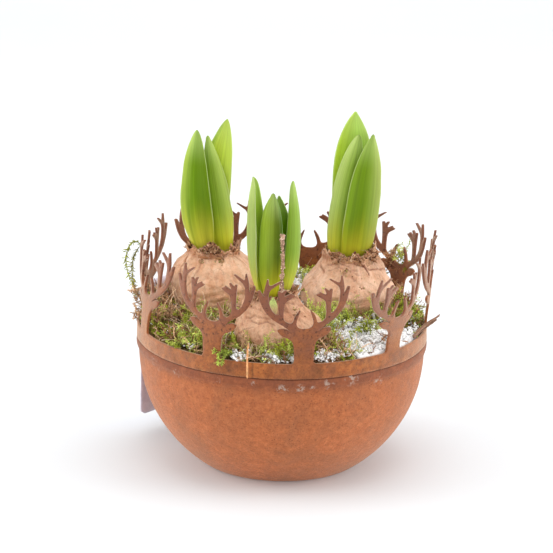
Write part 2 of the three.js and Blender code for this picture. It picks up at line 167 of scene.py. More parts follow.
def noise(points, scale, seed=0, octaves=1):
    """Smooth noise from -1 to 1. Each octave halves the scale and the height."""
    points = np.asarray(points, float)
    total = np.zeros(points.shape[:-1])
    weight = 0
    for octave in range(octaves):
        spot = points / scale * 2 ** octave + 17.3 * octave
        cell = np.floor(spot).astype(np.int64)
        t = spot - cell
        t = t * t * t * (t * (6 * t - 15) + 10)
        value = 0
        for corner in range(8):
            bits = [(corner >> axis) & 1 for axis in range(3)]
            share = 1
            for axis, bit in enumerate(bits):
                share = share * (t[..., axis] if bit else 1 - t[..., axis])
            value = value + share * hashed(
                cell[..., 0] + bits[0], cell[..., 1] + bits[1], cell[..., 2] + bits[2],
                seed * 31 + octave,
            )
        total = total + value * 0.5 ** octave
        weight += 0.5 ** octave
    return total / weight * 1.5


def spline(points, count):
    """A smooth curve through the points, evenly spaced along its length."""
    knots = np.asarray(points, float)
    ends = np.vstack([2 * knots[0] - knots[1], knots, 2 * knots[-1] - knots[-2]])
    fine = []
    t = np.linspace(0, 1, 24, endpoint=False)[:, None]
    for i in range(len(knots) - 1):
        a, b, c, d = ends[i:i + 4]
        fine.append(0.5 * (
            2 * b + (c - a) * t + (2 * a - 5 * b + 4 * c - d) * t ** 2
            + (3 * b - a - 3 * c + d) * t ** 3
        ))
    fine = np.vstack([*fine, knots[-1:]])
    steps = np.linalg.norm(np.diff(fine, axis=0), axis=1)
    run = np.concatenate([[0], np.cumsum(steps)])
    at = np.linspace(0, run[-1], count)
    return np.stack([np.interp(at, run, fine[:, k]) for k in range(knots.shape[1])], 1)


def unit(vectors):
    return vectors / np.maximum(np.linalg.norm(vectors, axis=-1, keepdims=True), 1e-9)


# ---------------------------------------------------------------- meshes


class Build:
    """Collects points, faces, tints and material numbers for one mesh."""

    def __init__(self):
        self.points, self.faces, self.tints, self.kinds, self.count = [], [], [], [], 0

    def add(self, points, faces, tint=(1, 1, 1), kind=0):
        points = np.asarray(points, float).reshape(-1, 3)
        tints = np.broadcast_to(np.asarray(tint, float).reshape(-1, 3), points.shape)
        for group in faces if isinstance(faces, list) else [faces]:
            self.faces.append(np.asarray(group, np.int64) + self.count)
            self.kinds.append(np.full(len(group), kind))
        self.points.append(points)
        self.tints.append(tints)
        self.count += len(points)

    def piece(self, name, materials, slot, nodes, uvs=None):
        """A mesh object in metres that rides on the root body and stands for the nodes."""
        points, tints = np.vstack(self.points), np.vstack(self.tints)
        loops = np.concatenate([group.ravel() for group in self.faces])
        sizes = np.concatenate([np.full(len(group), group.shape[1]) for group in self.faces])
        mesh = bpy.data.meshes.new(name)
        mesh.vertices.add(len(points))
        mesh.loops.add(len(loops))
        mesh.polygons.add(len(sizes))
        fill(mesh.vertices, "co", points * MM)
        fill(mesh.loops, "vertex_index", loops, np.int32)
        fill(mesh.polygons, "loop_start", [0, *np.cumsum(sizes)[:-1]], np.int32)
        fill(mesh.polygons, "use_smooth", np.ones(len(sizes)), bool)
        fill(mesh.polygons, "material_index", np.concatenate(self.kinds), np.int32)
        mesh.update(calc_edges=True)
        layer = mesh.color_attributes.new(name="tint", type="FLOAT_COLOR", domain="POINT")
        fill(layer.data, "color", np.concatenate([tints, np.ones((len(tints), 1))], 1))
        if uvs is not None:
            fill(mesh.uv_layers.new(name="across_along").data, "uv", uvs[loops])
        for material in materials:
            mesh.materials.append(material)
        made = bpy.data.objects.new(name, mesh)
        bpy.context.scene.collection.objects.link(made)
        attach(made, "root")
        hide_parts(*nodes)
        return made


def fill(rows, key, values, kind=np.float32):
    rows.foreach_set(key, np.asarray(values, kind).ravel())


def grid(rows, cols, closed=False):
    """Faces of a grid of points, which may close on itself across its columns."""
    i = np.arange(rows - 1)[:, None] * cols
    j = np.arange(cols if closed else cols - 1)[None, :]
    k = (j + 1) % cols
    return np.stack([i + j, i + k, i + k + cols, i + j + cols], -1).reshape(-1, 4)


def slab(front, back):
    """Points and faces of a closed sheet between two grids. Its front faces the viewer when
    rows run up and columns run right."""
    rows, cols = front.shape[:2]
    half = rows * cols
    faces = grid(rows, cols)
    edge = np.concatenate([
        np.arange(cols - 1), np.arange(cols - 1, half - 1, cols),
        np.arange(half - 1, half - cols, -1), np.arange(half - cols, 0, -cols),
    ])
    after = np.roll(edge, -1)
    rim = np.stack([after, edge, edge + half, after + half], 1)
    points = np.concatenate([front.reshape(-1, 3), back.reshape(-1, 3)])
    return points, np.concatenate([faces, faces[:, ::-1] + half, rim])


def tubes(paths, radii, sides):
    """Points and faces of closed tubes along paths of shape (tubes, steps, 3)."""
    count, steps = paths.shape[:2]
    along = unit(np.gradient(paths, axis=1))
    lead = np.where(np.abs(along[:, :1, 2:3]) < 0.8, [[[0, 0, 1.0]]], [[[1.0, 0, 0]]])
    side = unit(np.cross(along, np.broadcast_to(lead, along.shape)))
    up = np.cross(along, side)
    angle = np.arange(sides) * TAU / sides
    ring = (
        np.cos(angle)[:, None] * side[:, :, None] + np.sin(angle)[:, None] * up[:, :, None]
    )
    points = paths[:, :, None] + ring * radii[:, :, None, None]
    base = np.arange(count)[:, None, None] * steps * sides
    i = np.arange(steps - 1)[None, :, None] * sides
    j = np.arange(sides)[None, None, :]
    k = (j + 1) % sides
    walls = np.stack([base + i + j, base + i + k, base + i + k + sides, base + i + j + sides], -1)
    last = (steps - 1) * sides
    ends = [base[:, 0] + np.arange(sides)[::-1], base[:, 0] + last + np.arange(sides)]
    return points, [walls.reshape(-1, 4), *ends], side, up, along


# ---------------------------------------------------------------- materials


class Paint:
    """Short ways to make the nodes of one Principled material. Sizes are in millimetres."""

    def __init__(self, name, roughness=0.8, specular=0.3, **values):
        self.material = bpy.data.materials.new(name)
        self.material.use_nodes = True
        self.tree = self.material.node_tree
        self.shader = self.tree.nodes["Principled BSDF"]
        self.set("Roughness", roughness)
        self.set("Specular IOR Level", specular)
        for key, value in values.items():
            self.set(key.replace("_", " "), value)
        spot = self.node("ShaderNodeTexCoord").outputs["Object"]
        self.mm = self.stretched(1 / MM, 1 / MM, 1 / MM, spot)

    def feed(self, socket, value):
        if isinstance(value, bpy.types.NodeSocket):
            self.tree.links.new(value, socket)
        else:
            socket.default_value = (*linear(value), 1) if isinstance(value, str) else value

    def set(self, key, value):
        self.feed(self.shader.inputs[key], value)

    def node(self, kind, settings=None, **inputs):
        made = self.tree.nodes.new(kind)
        for key, value in (settings or {}).items():
            setattr(made, key, value)
        for key, value in inputs.items():
            self.feed(made.inputs[key], value)
        return made

    def stretched(self, x, y, z, vector=None):
        return self.node(
            "ShaderNodeMapping", Vector=vector or self.mm, Scale=(x, y, z)
        ).outputs["Vector"]

    def noise(self, size, detail=2.0, rough=0.5, vector=None, bend=0.0):
        return self.node(
            "ShaderNodeTexNoise", Vector=vector or self.mm, Scale=1 / size, Detail=detail,
            Roughness=rough, Distortion=bend,
        ).outputs["Fac"]

    def cells(self, size, feature="F1", vector=None):
        return self.node(
            "ShaderNodeTexVoronoi", {"feature": feature}, Vector=vector or self.mm,
            Scale=1 / size,
        ).outputs["Distance"]

    def ramp(self, value, *stops):
        made = self.node("ShaderNodeValToRGB", Fac=value)
        points = made.color_ramp.elements
        while len(points) < len(stops):
            points.new(0.5)
        for point, (at, colour) in zip(points, stops):
            point.position = at
            shade = linear(colour) if isinstance(colour, str) else (colour,) * 3
            point.color = (*shade, 1)
        return made.outputs["Color"]

    def mix(self, factor, a, b, mode="MIX"):
        made = self.node("ShaderNodeMix", {"data_type": "RGBA", "blend_type": mode})
        for index, value in ((0, factor), (6, a), (7, b)):
            self.feed(made.inputs[index], value)
        return made.outputs[2]

    def times(self, a, b, share=1.0):
        return self.mix(share, a, b, "MULTIPLY")

    def sum(self, a, b, operation="ADD"):
        made = self.node("ShaderNodeMath", {"operation": operation})
        self.feed(made.inputs[0], a)
        self.feed(made.inputs[1], b)
        return made.outputs[0]

    def product(self, a, b):
        return self.sum(a, b, "MULTIPLY")

    def range(self, value, low, high, start=0.0, end=1.0):
        limits = {"From Min": low, "From Max": high, "To Min": start, "To Max": end}
        return self.node("ShaderNodeMapRange", Value=value, **limits).outputs["Result"]

    def tint(self):
        return self.node("ShaderNodeVertexColor", {"layer_name": "tint"}).outputs["Color"]

    def bump(self, height, distance, strength):
        return self.node(
            "ShaderNodeBump", Height=height, Distance=distance * MM, Strength=strength
        ).outputs["Normal"]


def rust(name, dark, mid, light, cloud, sheen):
    """Even brown rust: clouds, mottling, fine bright and dark grain, and pits. Gives the paint,
    its colour and the height above the foot."""
    paint = Paint(
        name, specular=0.22, Sheen_Weight=sheen, Sheen_Roughness=0.5,
        Sheen_Tint=(1.0, 0.8, 0.62, 1),
    )
    mottled = paint.ramp(paint.noise(4, 6, 0.7), (0.3, dark), (0.5, mid), (0.72, light))
    clouds = paint.ramp(paint.noise(30, 4, 0.6, bend=0.6), (0.42, 0.0), (0.66, 0.7))
    grain = paint.ramp(
        paint.noise(1.3, 3, 0.75), (0.32, 0.58), (0.45, 0.95), (0.55, 1.04), (0.7, 1.3)
    )
    pits = paint.ramp(paint.cells(2.2), (0.08, 0.45), (0.24, 1.0))
    gate = paint.ramp(paint.noise(9, 3), (0.42, 0.0), (0.56, 1.0))
    base = paint.times(paint.mix(clouds, mottled, cloud), grain, 0.8)
    base = paint.mix(gate, base, paint.times(base, pits))
    paint.set("Roughness", paint.range(paint.noise(5, 4), 0.3, 0.7, 0.6, 0.8))
    rough = paint.sum(paint.noise(0.8, 4, 0.7), paint.product(pits, 0.5))
    paint.set("Normal", paint.bump(rough, 0.35, 0.5))
    high = paint.node("ShaderNodeSeparateXYZ", Vector=paint.mm).outputs["Z"]
    return paint, base, high


# Pale primer worn through under the bead: places and sizes
FLECKS = (
    ((0.5, -94, 77.6), 4), ((4.5, -94, 77.4), 3.5), ((12, -93, 78), 4), ((20, -92, 78.6), 3),
    ((30, -90, 80), 4.5), ((44, -84, 82), 6), ((-17, -94, 80.5), 2.5), ((-80, -46, 77), 7),
    ((-66, -66, 78), 4), ((-40, -85, 79.5), 3), ((62, -71, 77), 5), ((40, 84, 78), 8),
    ((-70, 62, 77), 7), ((85, 38, 78), 6),
)


def bowl_paint():
    """The rust, dirtier towards the bead, with pale primer worn through in flecks under it, painted
    shade on the bead and in the crease under the strip, and painted light towards the foot.
    """
    paint, base, high = rust("bowl_rust", "#94502c", "#a65d34", "#b66b3f", "#8e5535", 0.25)
    # Painted light: the rust is made brighter towards the foot, standing in for light bounced up
    # from the floor
    base = paint.times(base, paint.range(high, 60, 12, 1.0, 1.14))
    dirt = paint.product(
        paint.range(high, 56, 78), paint.range(paint.noise(21, 4, 0.6), 0.35, 0.65)
    )
    # Painted shade on the bead and just below it, under the strip's edge, broken up in patches by
    # the noise below
    shade_patches = paint.range(paint.noise(6, 4, 0.7), 0.3, 0.6, 0.5, 1.0)
    bead = paint.product(paint.range(high, 73, 79.5), shade_patches)
    lip = paint.product(paint.range(high, 77, 82), shade_patches)
    base = paint.mix(paint.product(dirt, 0.35), base, "#804a30")
    base = paint.mix(bead, base, paint.times(base, "#c9b7b2"))
    base = paint.mix(paint.product(lip, 0.3), base, "#7d4f3c")
    # Painted shade: a thin dark line in the crease where the bead meets the strip's lower edge
    base = paint.mix(paint.range(high, 83.0, 83.7, 0, 0.8), base, "#3f2317")
    flecks = paint.ramp(paint.noise(3.6, 5, 0.75), (0.52, 0.0), (0.58, 0.9))
    for spot, size in FLECKS:
        far = paint.node("ShaderNodeVectorMath", {"operation": "DISTANCE"})
        paint.feed(far.inputs[0], paint.mm)
        paint.feed(far.inputs[1], spot)
        near = paint.range(far.outputs["Value"], size, size * 0.5)
        base = paint.mix(paint.product(flecks, near), base, "#a18a7c")
    paint.set("Base Color", base)
    return paint.material


def band_paint():
    """The rust of the cut strip, painted darker than the bowl's as shade on the strip, and darker
    and more purple towards the antlers.
    """
    # Painted shade: these rust colours are darker than the bowl's, standing in for the shade on the
    # upright strip
    paint, base, high = rust("band_rust", "#7c3d16", "#93501f", "#a6622b", "#784225", 0.75)
    blotch = paint.range(paint.noise(9, 3), 0.3, 0.7, -12, 12)
    age = paint.range(paint.sum(high, blotch), 102, 134, 0, 0.75)
    base = paint.mix(age, base, "#724436")
    spots = paint.ramp(paint.noise(2.2, 4, 0.7), (0.34, "#86726a"), (0.44, "#ffffff"))
    base = paint.mix(paint.range(high, 98, 112, 0.3, 1.0), base, paint.times(base, spots))
    paint.set("Base Color", paint.times(base, paint.tint()))
    return paint.material


def tunic_paint(name, pale, tan):
    """Dry papery skin: fibres along the bulb, pinkish and tan areas, thin brown wrinkles, and
    painted highlight and shade on its crimped ridges.
    """
    paint = Paint(
        name, 0.5, 0.35, Subsurface_Weight=0.08, Subsurface_Radius=(0.004, 0.002, 0.001)
    )
    fibres = paint.noise(0.8, 4, 0.6, paint.stretched(1, 1, 0.1), 0.3)
    areas = paint.ramp(paint.noise(11, 4, 0.6), (0.38, 0.0), (0.62, 1.0))
    streaks = paint.ramp(fibres, (0.3, 0.86), (0.5, 1.0), (0.72, 1.07))
    tone = paint.times(paint.mix(areas, tan, pale), streaks, 0.75)
    crinkle = paint.cells(5, "DISTANCE_TO_EDGE", paint.stretched(1, 1, 1.7))
    line = paint.product(
        paint.ramp(crinkle, (0.0, 1.0), (0.035, 0.0)),
        paint.ramp(paint.noise(6, 3), (0.5, 0.0), (0.6, 0.5)),
    )
    stains = paint.ramp(paint.noise(4.5, 5, 0.7), (0.62, 0.0), (0.74, 0.45))
    specks = paint.ramp(paint.noise(0.9, 2, 0.5), (0.71, 0.0), (0.76, 0.6))
    for share, colour in ((line, "#a3673f"), (stains, "#ab7850"), (specks, "#7d5030")):
        tone = paint.mix(share, tone, colour)
    crimp = paint.noise(2.4, 5, 0.65, paint.stretched(1, 1, 0.35), 0.8)
    ridges = paint.ramp(crimp, (0.36, 0.0), (0.47, 0.8), (0.53, 1.0), (0.66, 0.2))
    # Painted highlight on the crimped ridges and painted shade beside them, following the noise of
    # the bump
    wrinkle_shading = paint.ramp(crimp, (0.3, 0.66), (0.45, 0.98), (0.55, 1.1), (0.75, 0.84))
    tone = paint.mix(0.55, tone, paint.times(tone, wrinkle_shading))
    paint.set("Base Color", paint.times(tone, paint.tint()))
    height = paint.sum(fibres, paint.product(line, -2.0))
    height = paint.sum(height, paint.product(ridges, 1.6))
    paint.set("Normal", paint.bump(height, 0.28, 0.6))
    return paint.material


def leaf_paint():
    """Fresh leaf: the tint carries the large gradients, painted light and shade among them, and
    veins run along it.
    """
    paint = Paint(
        "leaf_skin", 0.36, 0.07, Subsurface_Weight=0.06,
        Subsurface_Radius=(0.0016, 0.003, 0.0006),
    )
    spot = paint.node("ShaderNodeUVMap", {"uv_map": "across_along"}).outputs["UV"]
    vein = paint.noise(1, 3, 0.6, paint.stretched(26, 0.9, 1, spot))
    band = paint.noise(1, 2, 0.5, paint.stretched(8, 0.7, 1, spot))
    tone = paint.times(paint.tint(), paint.ramp(vein, (0.3, 0.86), (0.5, 1.0), (0.72, 1.12)), 0.8)
    tone = paint.times(tone, paint.ramp(band, (0.3, 0.84), (0.5, 1.0), (0.7, 1.14)), 0.7)
    paint.set("Base Color", tone)
    paint.set("Roughness", paint.range(band, 0.3, 0.7, 0.3, 0.45))
    paint.set("Normal", paint.bump(vein, 0.22, 0.5))
    return paint.material


def tinted(name, size, roughness=0.85, low=0.75, high=1.2, depth=0.15):
    """A material whose tint comes from the mesh, broken up by noise of that size."""
    paint = Paint(name, roughness)
    fine = paint.noise(size, 4, 0.65)
    tone = paint.ramp(fine, (0.3, low), (0.5, 1.0), (0.7, high))
    paint.set("Base Color", paint.times(paint.tint(), tone, 0.9))
    paint.set("Normal", paint.bump(fine, depth, 0.6))
    return paint.material


def snow_paint():
    """Sugary artificial snow: white, with painted shade in its hollows and a painted highlight on
    its crests, and a slight sparkle.
    """
    paint = Paint(
        "granular_snow", 0.5, 0.5, Subsurface_Weight=0.2, Subsurface_Radius=(0.001, 0.001, 0.001)
    )
    fine = paint.noise(0.7, 4, 0.7)
    # Painted shade and highlight: grey where the bump is low, pure white where it is high
    tone = paint.ramp(fine, (0.3, "#dedbda"), (0.5, "#f4f2f1"), (0.65, "#ffffff"))
    paint.set("Base Color", paint.times(tone, paint.tint()))
    paint.set("Normal", paint.bump(fine, 0.3, 0.6))
    return paint.material


def label_paint():
    """Thin plastic card, faintly lilac, with soft scuffs."""
    paint = Paint("label_plastic", 0.42, 0.45)
    scuff = paint.noise(6, 5, 0.6)
    paint.set("Base Color", paint.ramp(scuff, (0.35, "#c6bcc8"), (0.6, "#d4cbd5")))
    paint.set("Normal", paint.bump(scuff, 0.1, 0.3))
    return paint.material


RUST_BOWL = bowl_paint()
RUST_BAND = band_paint()
LEAF = leaf_paint()
MOSS = tinted("moss_strands", 1.4, low=0.7, high=1.3)
EARTH = tinted("damp_soil", 1.1, 0.9, 0.5, 1.5, 0.4)
SNOW = snow_paint()
DRY = tinted("dry_matter", 0.8, 0.8, 0.62, 1.28, 0.25)
LABEL = label_paint()
TUNICS = {
    "left": tunic_paint("tunic_left_paper", "#efc6a5", "#dba680"),
    "right": tunic_paint("tunic_right_paper", "#ecc3a5", "#d8a886"),
    "front": tunic_paint("tunic_front_paper", "#e2b795", "#c99370"),
}

# ---------------------------------------------------------------- steel bowl

BOWL_COLS = 260


def wobble(azimuth):
    """Slight out-of-round of the hand-worked sheet, in millimetres."""
    angle = np.radians(azimuth)
    return 0.28 * np.sin(3 * angle + 1) + 0.14 * np.sin(7 * angle) + 0.08 * np.sin(13 * angle + 2)


def bowl_arc(inset, from_z, rows):
    start = math.asin((BOWL["middle"] - from_z) / BOWL["depth"])
    angle = start * (1 - np.linspace(0, 1, rows))
    return np.stack([
        BOWL["radius"] * np.cos(angle) - inset, BOWL["middle"] - BOWL["depth"] * np.sin(angle),
    ], 1)


def steel_bowl():
    """The bowl, turned from one profile: outside from foot to bead, and back down inside."""
    foot = bowl_arc(0, 0, 2)[0, 0]
    angle = math.pi * (np.linspace(0.2, 1, 20) - 0.5)
    bead = np.stack([
        BOWL["radius"] + BEAD["bulge"] * np.cos(angle),
        BEAD["middle"] + BEAD["half"] * np.sin(angle),
    ], 1)
    profile = np.vstack([
        [[foot * share, 0] for share in (0.0, 0.5, 0.93, 0.985)],
        [[foot + 0.15, 0.25]], bowl_arc(0, 1.1, 58)[:-1], bead,
        [[BOWL["radius"] - BOWL["wall"], RIM["bottom"]]],
        bowl_arc(BOWL["wall"], BOWL["wall"], 20)[::-1], [[0, BOWL["wall"]]],
    ])
    out, up = profile[:, :1], profile[:, 1:]
    azimuth = whole_turn(BOWL_COLS)
    points = on_circle(azimuth, out, up)
    shift = smoothstep(up, 2, 30) * (wobble(azimuth) + 0.16 * noise(points, 28, 5, 3))
    shift = shift + smoothstep(up, 78, 83) * 0.22 * noise(points * [1, 1, 0.4], 5, 8, 2)
    points += on_circle(azimuth, np.ones_like(out), 0) * shift[..., None]
    points[..., 2] += 0.12 * noise(points, 9, 9, 2) * smoothstep(up, 70, 77)
    build = Build()
    build.add(points, grid(len(profile), BOWL_COLS, closed=True))
    build.piece("steel_bowl", [RUST_BOWL], "rusted_steel", ["bowl"])


# ---------------------------------------------------------------- strip and deer heads


def rounded(outline, reach=2.6, share=0.42, steps=4):
    """The outline with each corner after the first few eased into a small arc."""
    count = len(outline)
    points = []
    for i in range(count):
        corner = np.array(outline[i], float)
        before = np.array(outline[i - 1], float)
        after = np.array(outline[(i + 1) % count], float)
        if corner[1] < 2.5:
            points.append(corner)
            continue
        first = np.linalg.norm(before - corner)
        second = np.linalg.norm(after - corner)
        cut = min(reach, share * first, share * second)
        start = corner + (before - corner) / first * cut
        end = corner + (after - corner) / second * cut
        for t in np.linspace(0, 1, steps):
            points.append((1 - t) ** 2 * start + 2 * t * (1 - t) * corner + t * t * end)
    return points


def divided(outline, longest):
    points = []
    for start, end in zip(outline, outline[1:] + outline[:1]):
        pieces = max(1, math.ceil(np.linalg.norm(end - start) / longest))
        if start[1] < 0.01 and end[1] < 0.01:
            pieces = 12
        points += [start + (end - start) * i / pieces for i in range(pieces)]
    return points


def inside_of(points, outline):
    """Which points lie within the outline, and their distance from it."""
    a = np.array(outline)
    b = np.roll(a, -1, 0)
    x, y = points[:, :1], points[:, 1:]
    crosses = (a[:, 1] > y) != (b[:, 1] > y)
    rise = np.where(b[:, 1] == a[:, 1], 1e-9, b[:, 1] - a[:, 1])
    at = a[:, 0] + (y - a[:, 1]) * (b[:, 0] - a[:, 0]) / rise
    within = (crosses & (x < at)).sum(1) % 2 == 1
    edge = b - a
    share = ((x - a[:, 0]) * edge[:, 0] + (y - a[:, 1]) * edge[:, 1]) / (edge ** 2).sum(1)
    share = np.clip(share, 0, 1)
    gap = np.hypot(x - a[:, 0] - share * edge[:, 0], y - a[:, 1] - share * edge[:, 1]).min(1)
    return within, gap


def head_pattern():
    """Flat points, triangles and open edges of one head. Its foot stays open on the strip."""
    mirrored = [(-x, y) for x, y in HALF_HEAD][::-1]
    outline = divided(rounded(HALF_HEAD + mirrored), 1.3)
    across, up = np.meshgrid(np.arange(-32, 32, 1.5), np.arange(0.8, 58, 1.3))
    across = across + 0.75 * (np.round(up / 1.3).astype(int) % 2)
    spots = np.stack([across.ravel(), up.ravel()], 1)
    within, gap = inside_of(spots, outline)
    spots = spots[within & (gap > 0.75)]
    points = [Vector(p) for p in outline] + [Vector(p) for p in spots]
    flat, _, faces, *_ = delaunay_2d_cdt(points, [], [list(range(len(outline)))], 1, 1e-5)
    flat = np.array([tuple(p) for p in flat])
    faces = np.array([f for f in faces if len(f) == 3])
    a, b, c = (flat[faces[:, k]] for k in range(3))
    turn = (b[:, 0] - a[:, 0]) * (c[:, 1] - a[:, 1]) - (b[:, 1] - a[:, 1]) * (c[:, 0] - a[:, 0])
    faces[turn < 0] = faces[turn < 0][:, ::-1]
    edges = np.concatenate([faces[:, [0, 1]], faces[:, [1, 2]], faces[:, [2, 0]]])
    pairs = {tuple(edge) for edge in edges.tolist()}
    rim = [e for e in pairs if (e[1], e[0]) not in pairs]
    rim = [e for e in rim if max(flat[e[0], 1], flat[e[1], 1]) > 1e-4]
    base = sorted({round(p[0], 5) for p in flat if p[1] < 1e-4})
    return flat, faces, np.array(sorted(rim)), base


def bent_head(flat, head, depth):
    """A head's points, bent round the strip, at a depth within the sheet."""
    _, middle, lean, twist, spread, rise = head
    free = np.minimum(flat[:, 1] / 14, 1)
    across = flat[:, 0] * (1 + (spread - 1) * free)
    up = flat[:, 1] * (1 + (rise - 1) * free)
    tilt = np.radians(free * (lean + twist * across / 31))
    azimuth = middle + np.degrees(across / RIM["radius"])
    radius = RIM["radius"] - SHEET + depth + up * np.sin(tilt) + wobble(azimuth)
    return on_circle(azimuth, radius, RIM["top"] + up * np.cos(tilt))


def from_weld(azimuth):
    """Distance along the strip from the weld of its two ends."""
    return wrapped(azimuth - WELD_AZIMUTH) * MM_PER_DEGREE


def weld_ridge(azimuth):
    off = from_weld(azimuth)
    return 0.45 * np.exp(-(off / 0.7) ** 2) - 0.25 * np.exp(-((off - 1.5) / 0.5) ** 2)


STRIP_STEP = 0.5  # degrees
CUT_EDGE = 0.22


def deer_band():
    """The strip and its nine heads as one closed sheet with slightly eased edges."""
    flat, faces, rim, base = head_pattern()
    count = len(flat)
    walls = np.stack([rim[:, 1], rim[:, 0], rim[:, 0] + count, rim[:, 1] + count], 1)
    build = Build()
    for head in HEADS:
        sides = [bent_head(flat, head, depth) for depth in (SHEET, 0)]
        build.add(np.vstack(sides), [faces, faces[:, ::-1] + count, walls])
    feet = [azimuth + np.degrees(np.array(base) / RIM["radius"]) for _, azimuth, *_ in HEADS]
    columns, capped = [], []
    for here, following in zip(feet, feet[1:] + feet[:1]):
        gap = (following[0] - here[-1]) % 360
        pieces = math.ceil(gap / STRIP_STEP)
        steps = np.arange(1, pieces) * gap / pieces
        columns += [*here, *(here[-1] + steps)]
        capped += [False] * (len(here) - 1) + [True] * (len(steps) + 1)
    cols = len(columns)
    columns = np.array(columns)[None, :]
    levels = np.linspace(RIM["bottom"], RIM["top"], 7)[:, None]
    half = len(levels) * cols
    spots = on_circle(columns, RIM["radius"], levels)
    uneven = 0.16 * noise(spots, 6, 21, 3) * smoothstep(RIM["top"] - levels, 0, 1.5)
    ridge = weld_ridge(columns) * smoothstep(RIM["top"] - levels, 0, 1)
    outer = on_circle(columns, RIM["radius"] + wobble(columns) + uneven + ridge, levels)
    inner = on_circle(columns, RIM["radius"] - SHEET + wobble(columns), levels)
    skin = grid(len(levels), cols, closed=True)
    low = np.arange(cols)
    after = (low + 1) % cols
    top = half - cols
    under = np.stack([after, low, low + half, after + half], 1)
    over = np.stack([low + top, after + top, after + top + half, low + top + half], 1)
    off = from_weld(columns)
    # Painted shade in the groove beside the weld ridge and a painted highlight on the ridge itself
    weld_shade_and_highlight = 1 - 0.5 * np.exp(-((off - 1.4) / 0.5) ** 2) + 0.2 * np.exp(-(off / 0.9) ** 2)
    tint = weld_shade_and_highlight * (1 + 0.3 * noise(spots, 4, 33, 3))
    build.add(
        np.concatenate([outer, inner]), [skin, skin[:, ::-1] + half, under, over[np.array(capped)]],
        np.concatenate([tint.ravel(), np.ones(half)])[:, None] * [1, 1, 1],
    )
    band = build.piece(
        "deer_band", [RUST_BAND], "rusted_steel_dark",
        ["rim_strip", *(f"head_{name}" for name, *_ in HEADS)],
    )
    weld(band, 0.01)
    bevel = band.modifiers.new("cut_edge", "BEVEL")
    bevel.width = CUT_EDGE * MM
    bevel.segments = 1
    bevel.limit_method = "ANGLE"
    bevel.angle_limit = math.radians(50)


def weld(made, distance):
    """Joins points closer than the distance, in millimetres, and turns all faces outwards."""
    mesh = bmesh.new()
    mesh.from_mesh(made.data)
    bmesh.ops.remove_doubles(mesh, verts=mesh.verts, dist=distance * MM)
    bmesh.ops.recalc_face_normals(mesh, faces=mesh.faces)
    mesh.to_mesh(made.data)
    mesh.free()


# ---------------------------------------------------------------- bulbs


def bulb_outline(bulb):
    """Radius and height above the bulb's centre, from its flat base to the top of its neck."""
    size, shoulder = bulb["radius"], bulb["shoulder"]
    neck_top = bulb["neck"][2] - bulb["centre"][2]
    profile = [
        (0, -0.8), (0.28, -0.8), (0.64, -0.66), (0.9, -0.36), (1, 0),
        (0.985, 0.18 + 0.1 * shoulder), (0.92, 0.36 + 0.2 * shoulder),
        (0.73 + 0.08 * shoulder, 0.58 + 0.14 * shoulder),
    ]
    return [(out * size, up * size) for out, up in profile] + [
        (bulb["neck_radius"] + 2.4 + 1.4 * shoulder, neck_top - 7.5),
        (bulb["neck_radius"] + 0.8, neck_top - 4), (bulb["neck_radius"] + 1.8, neck_top),
    ]
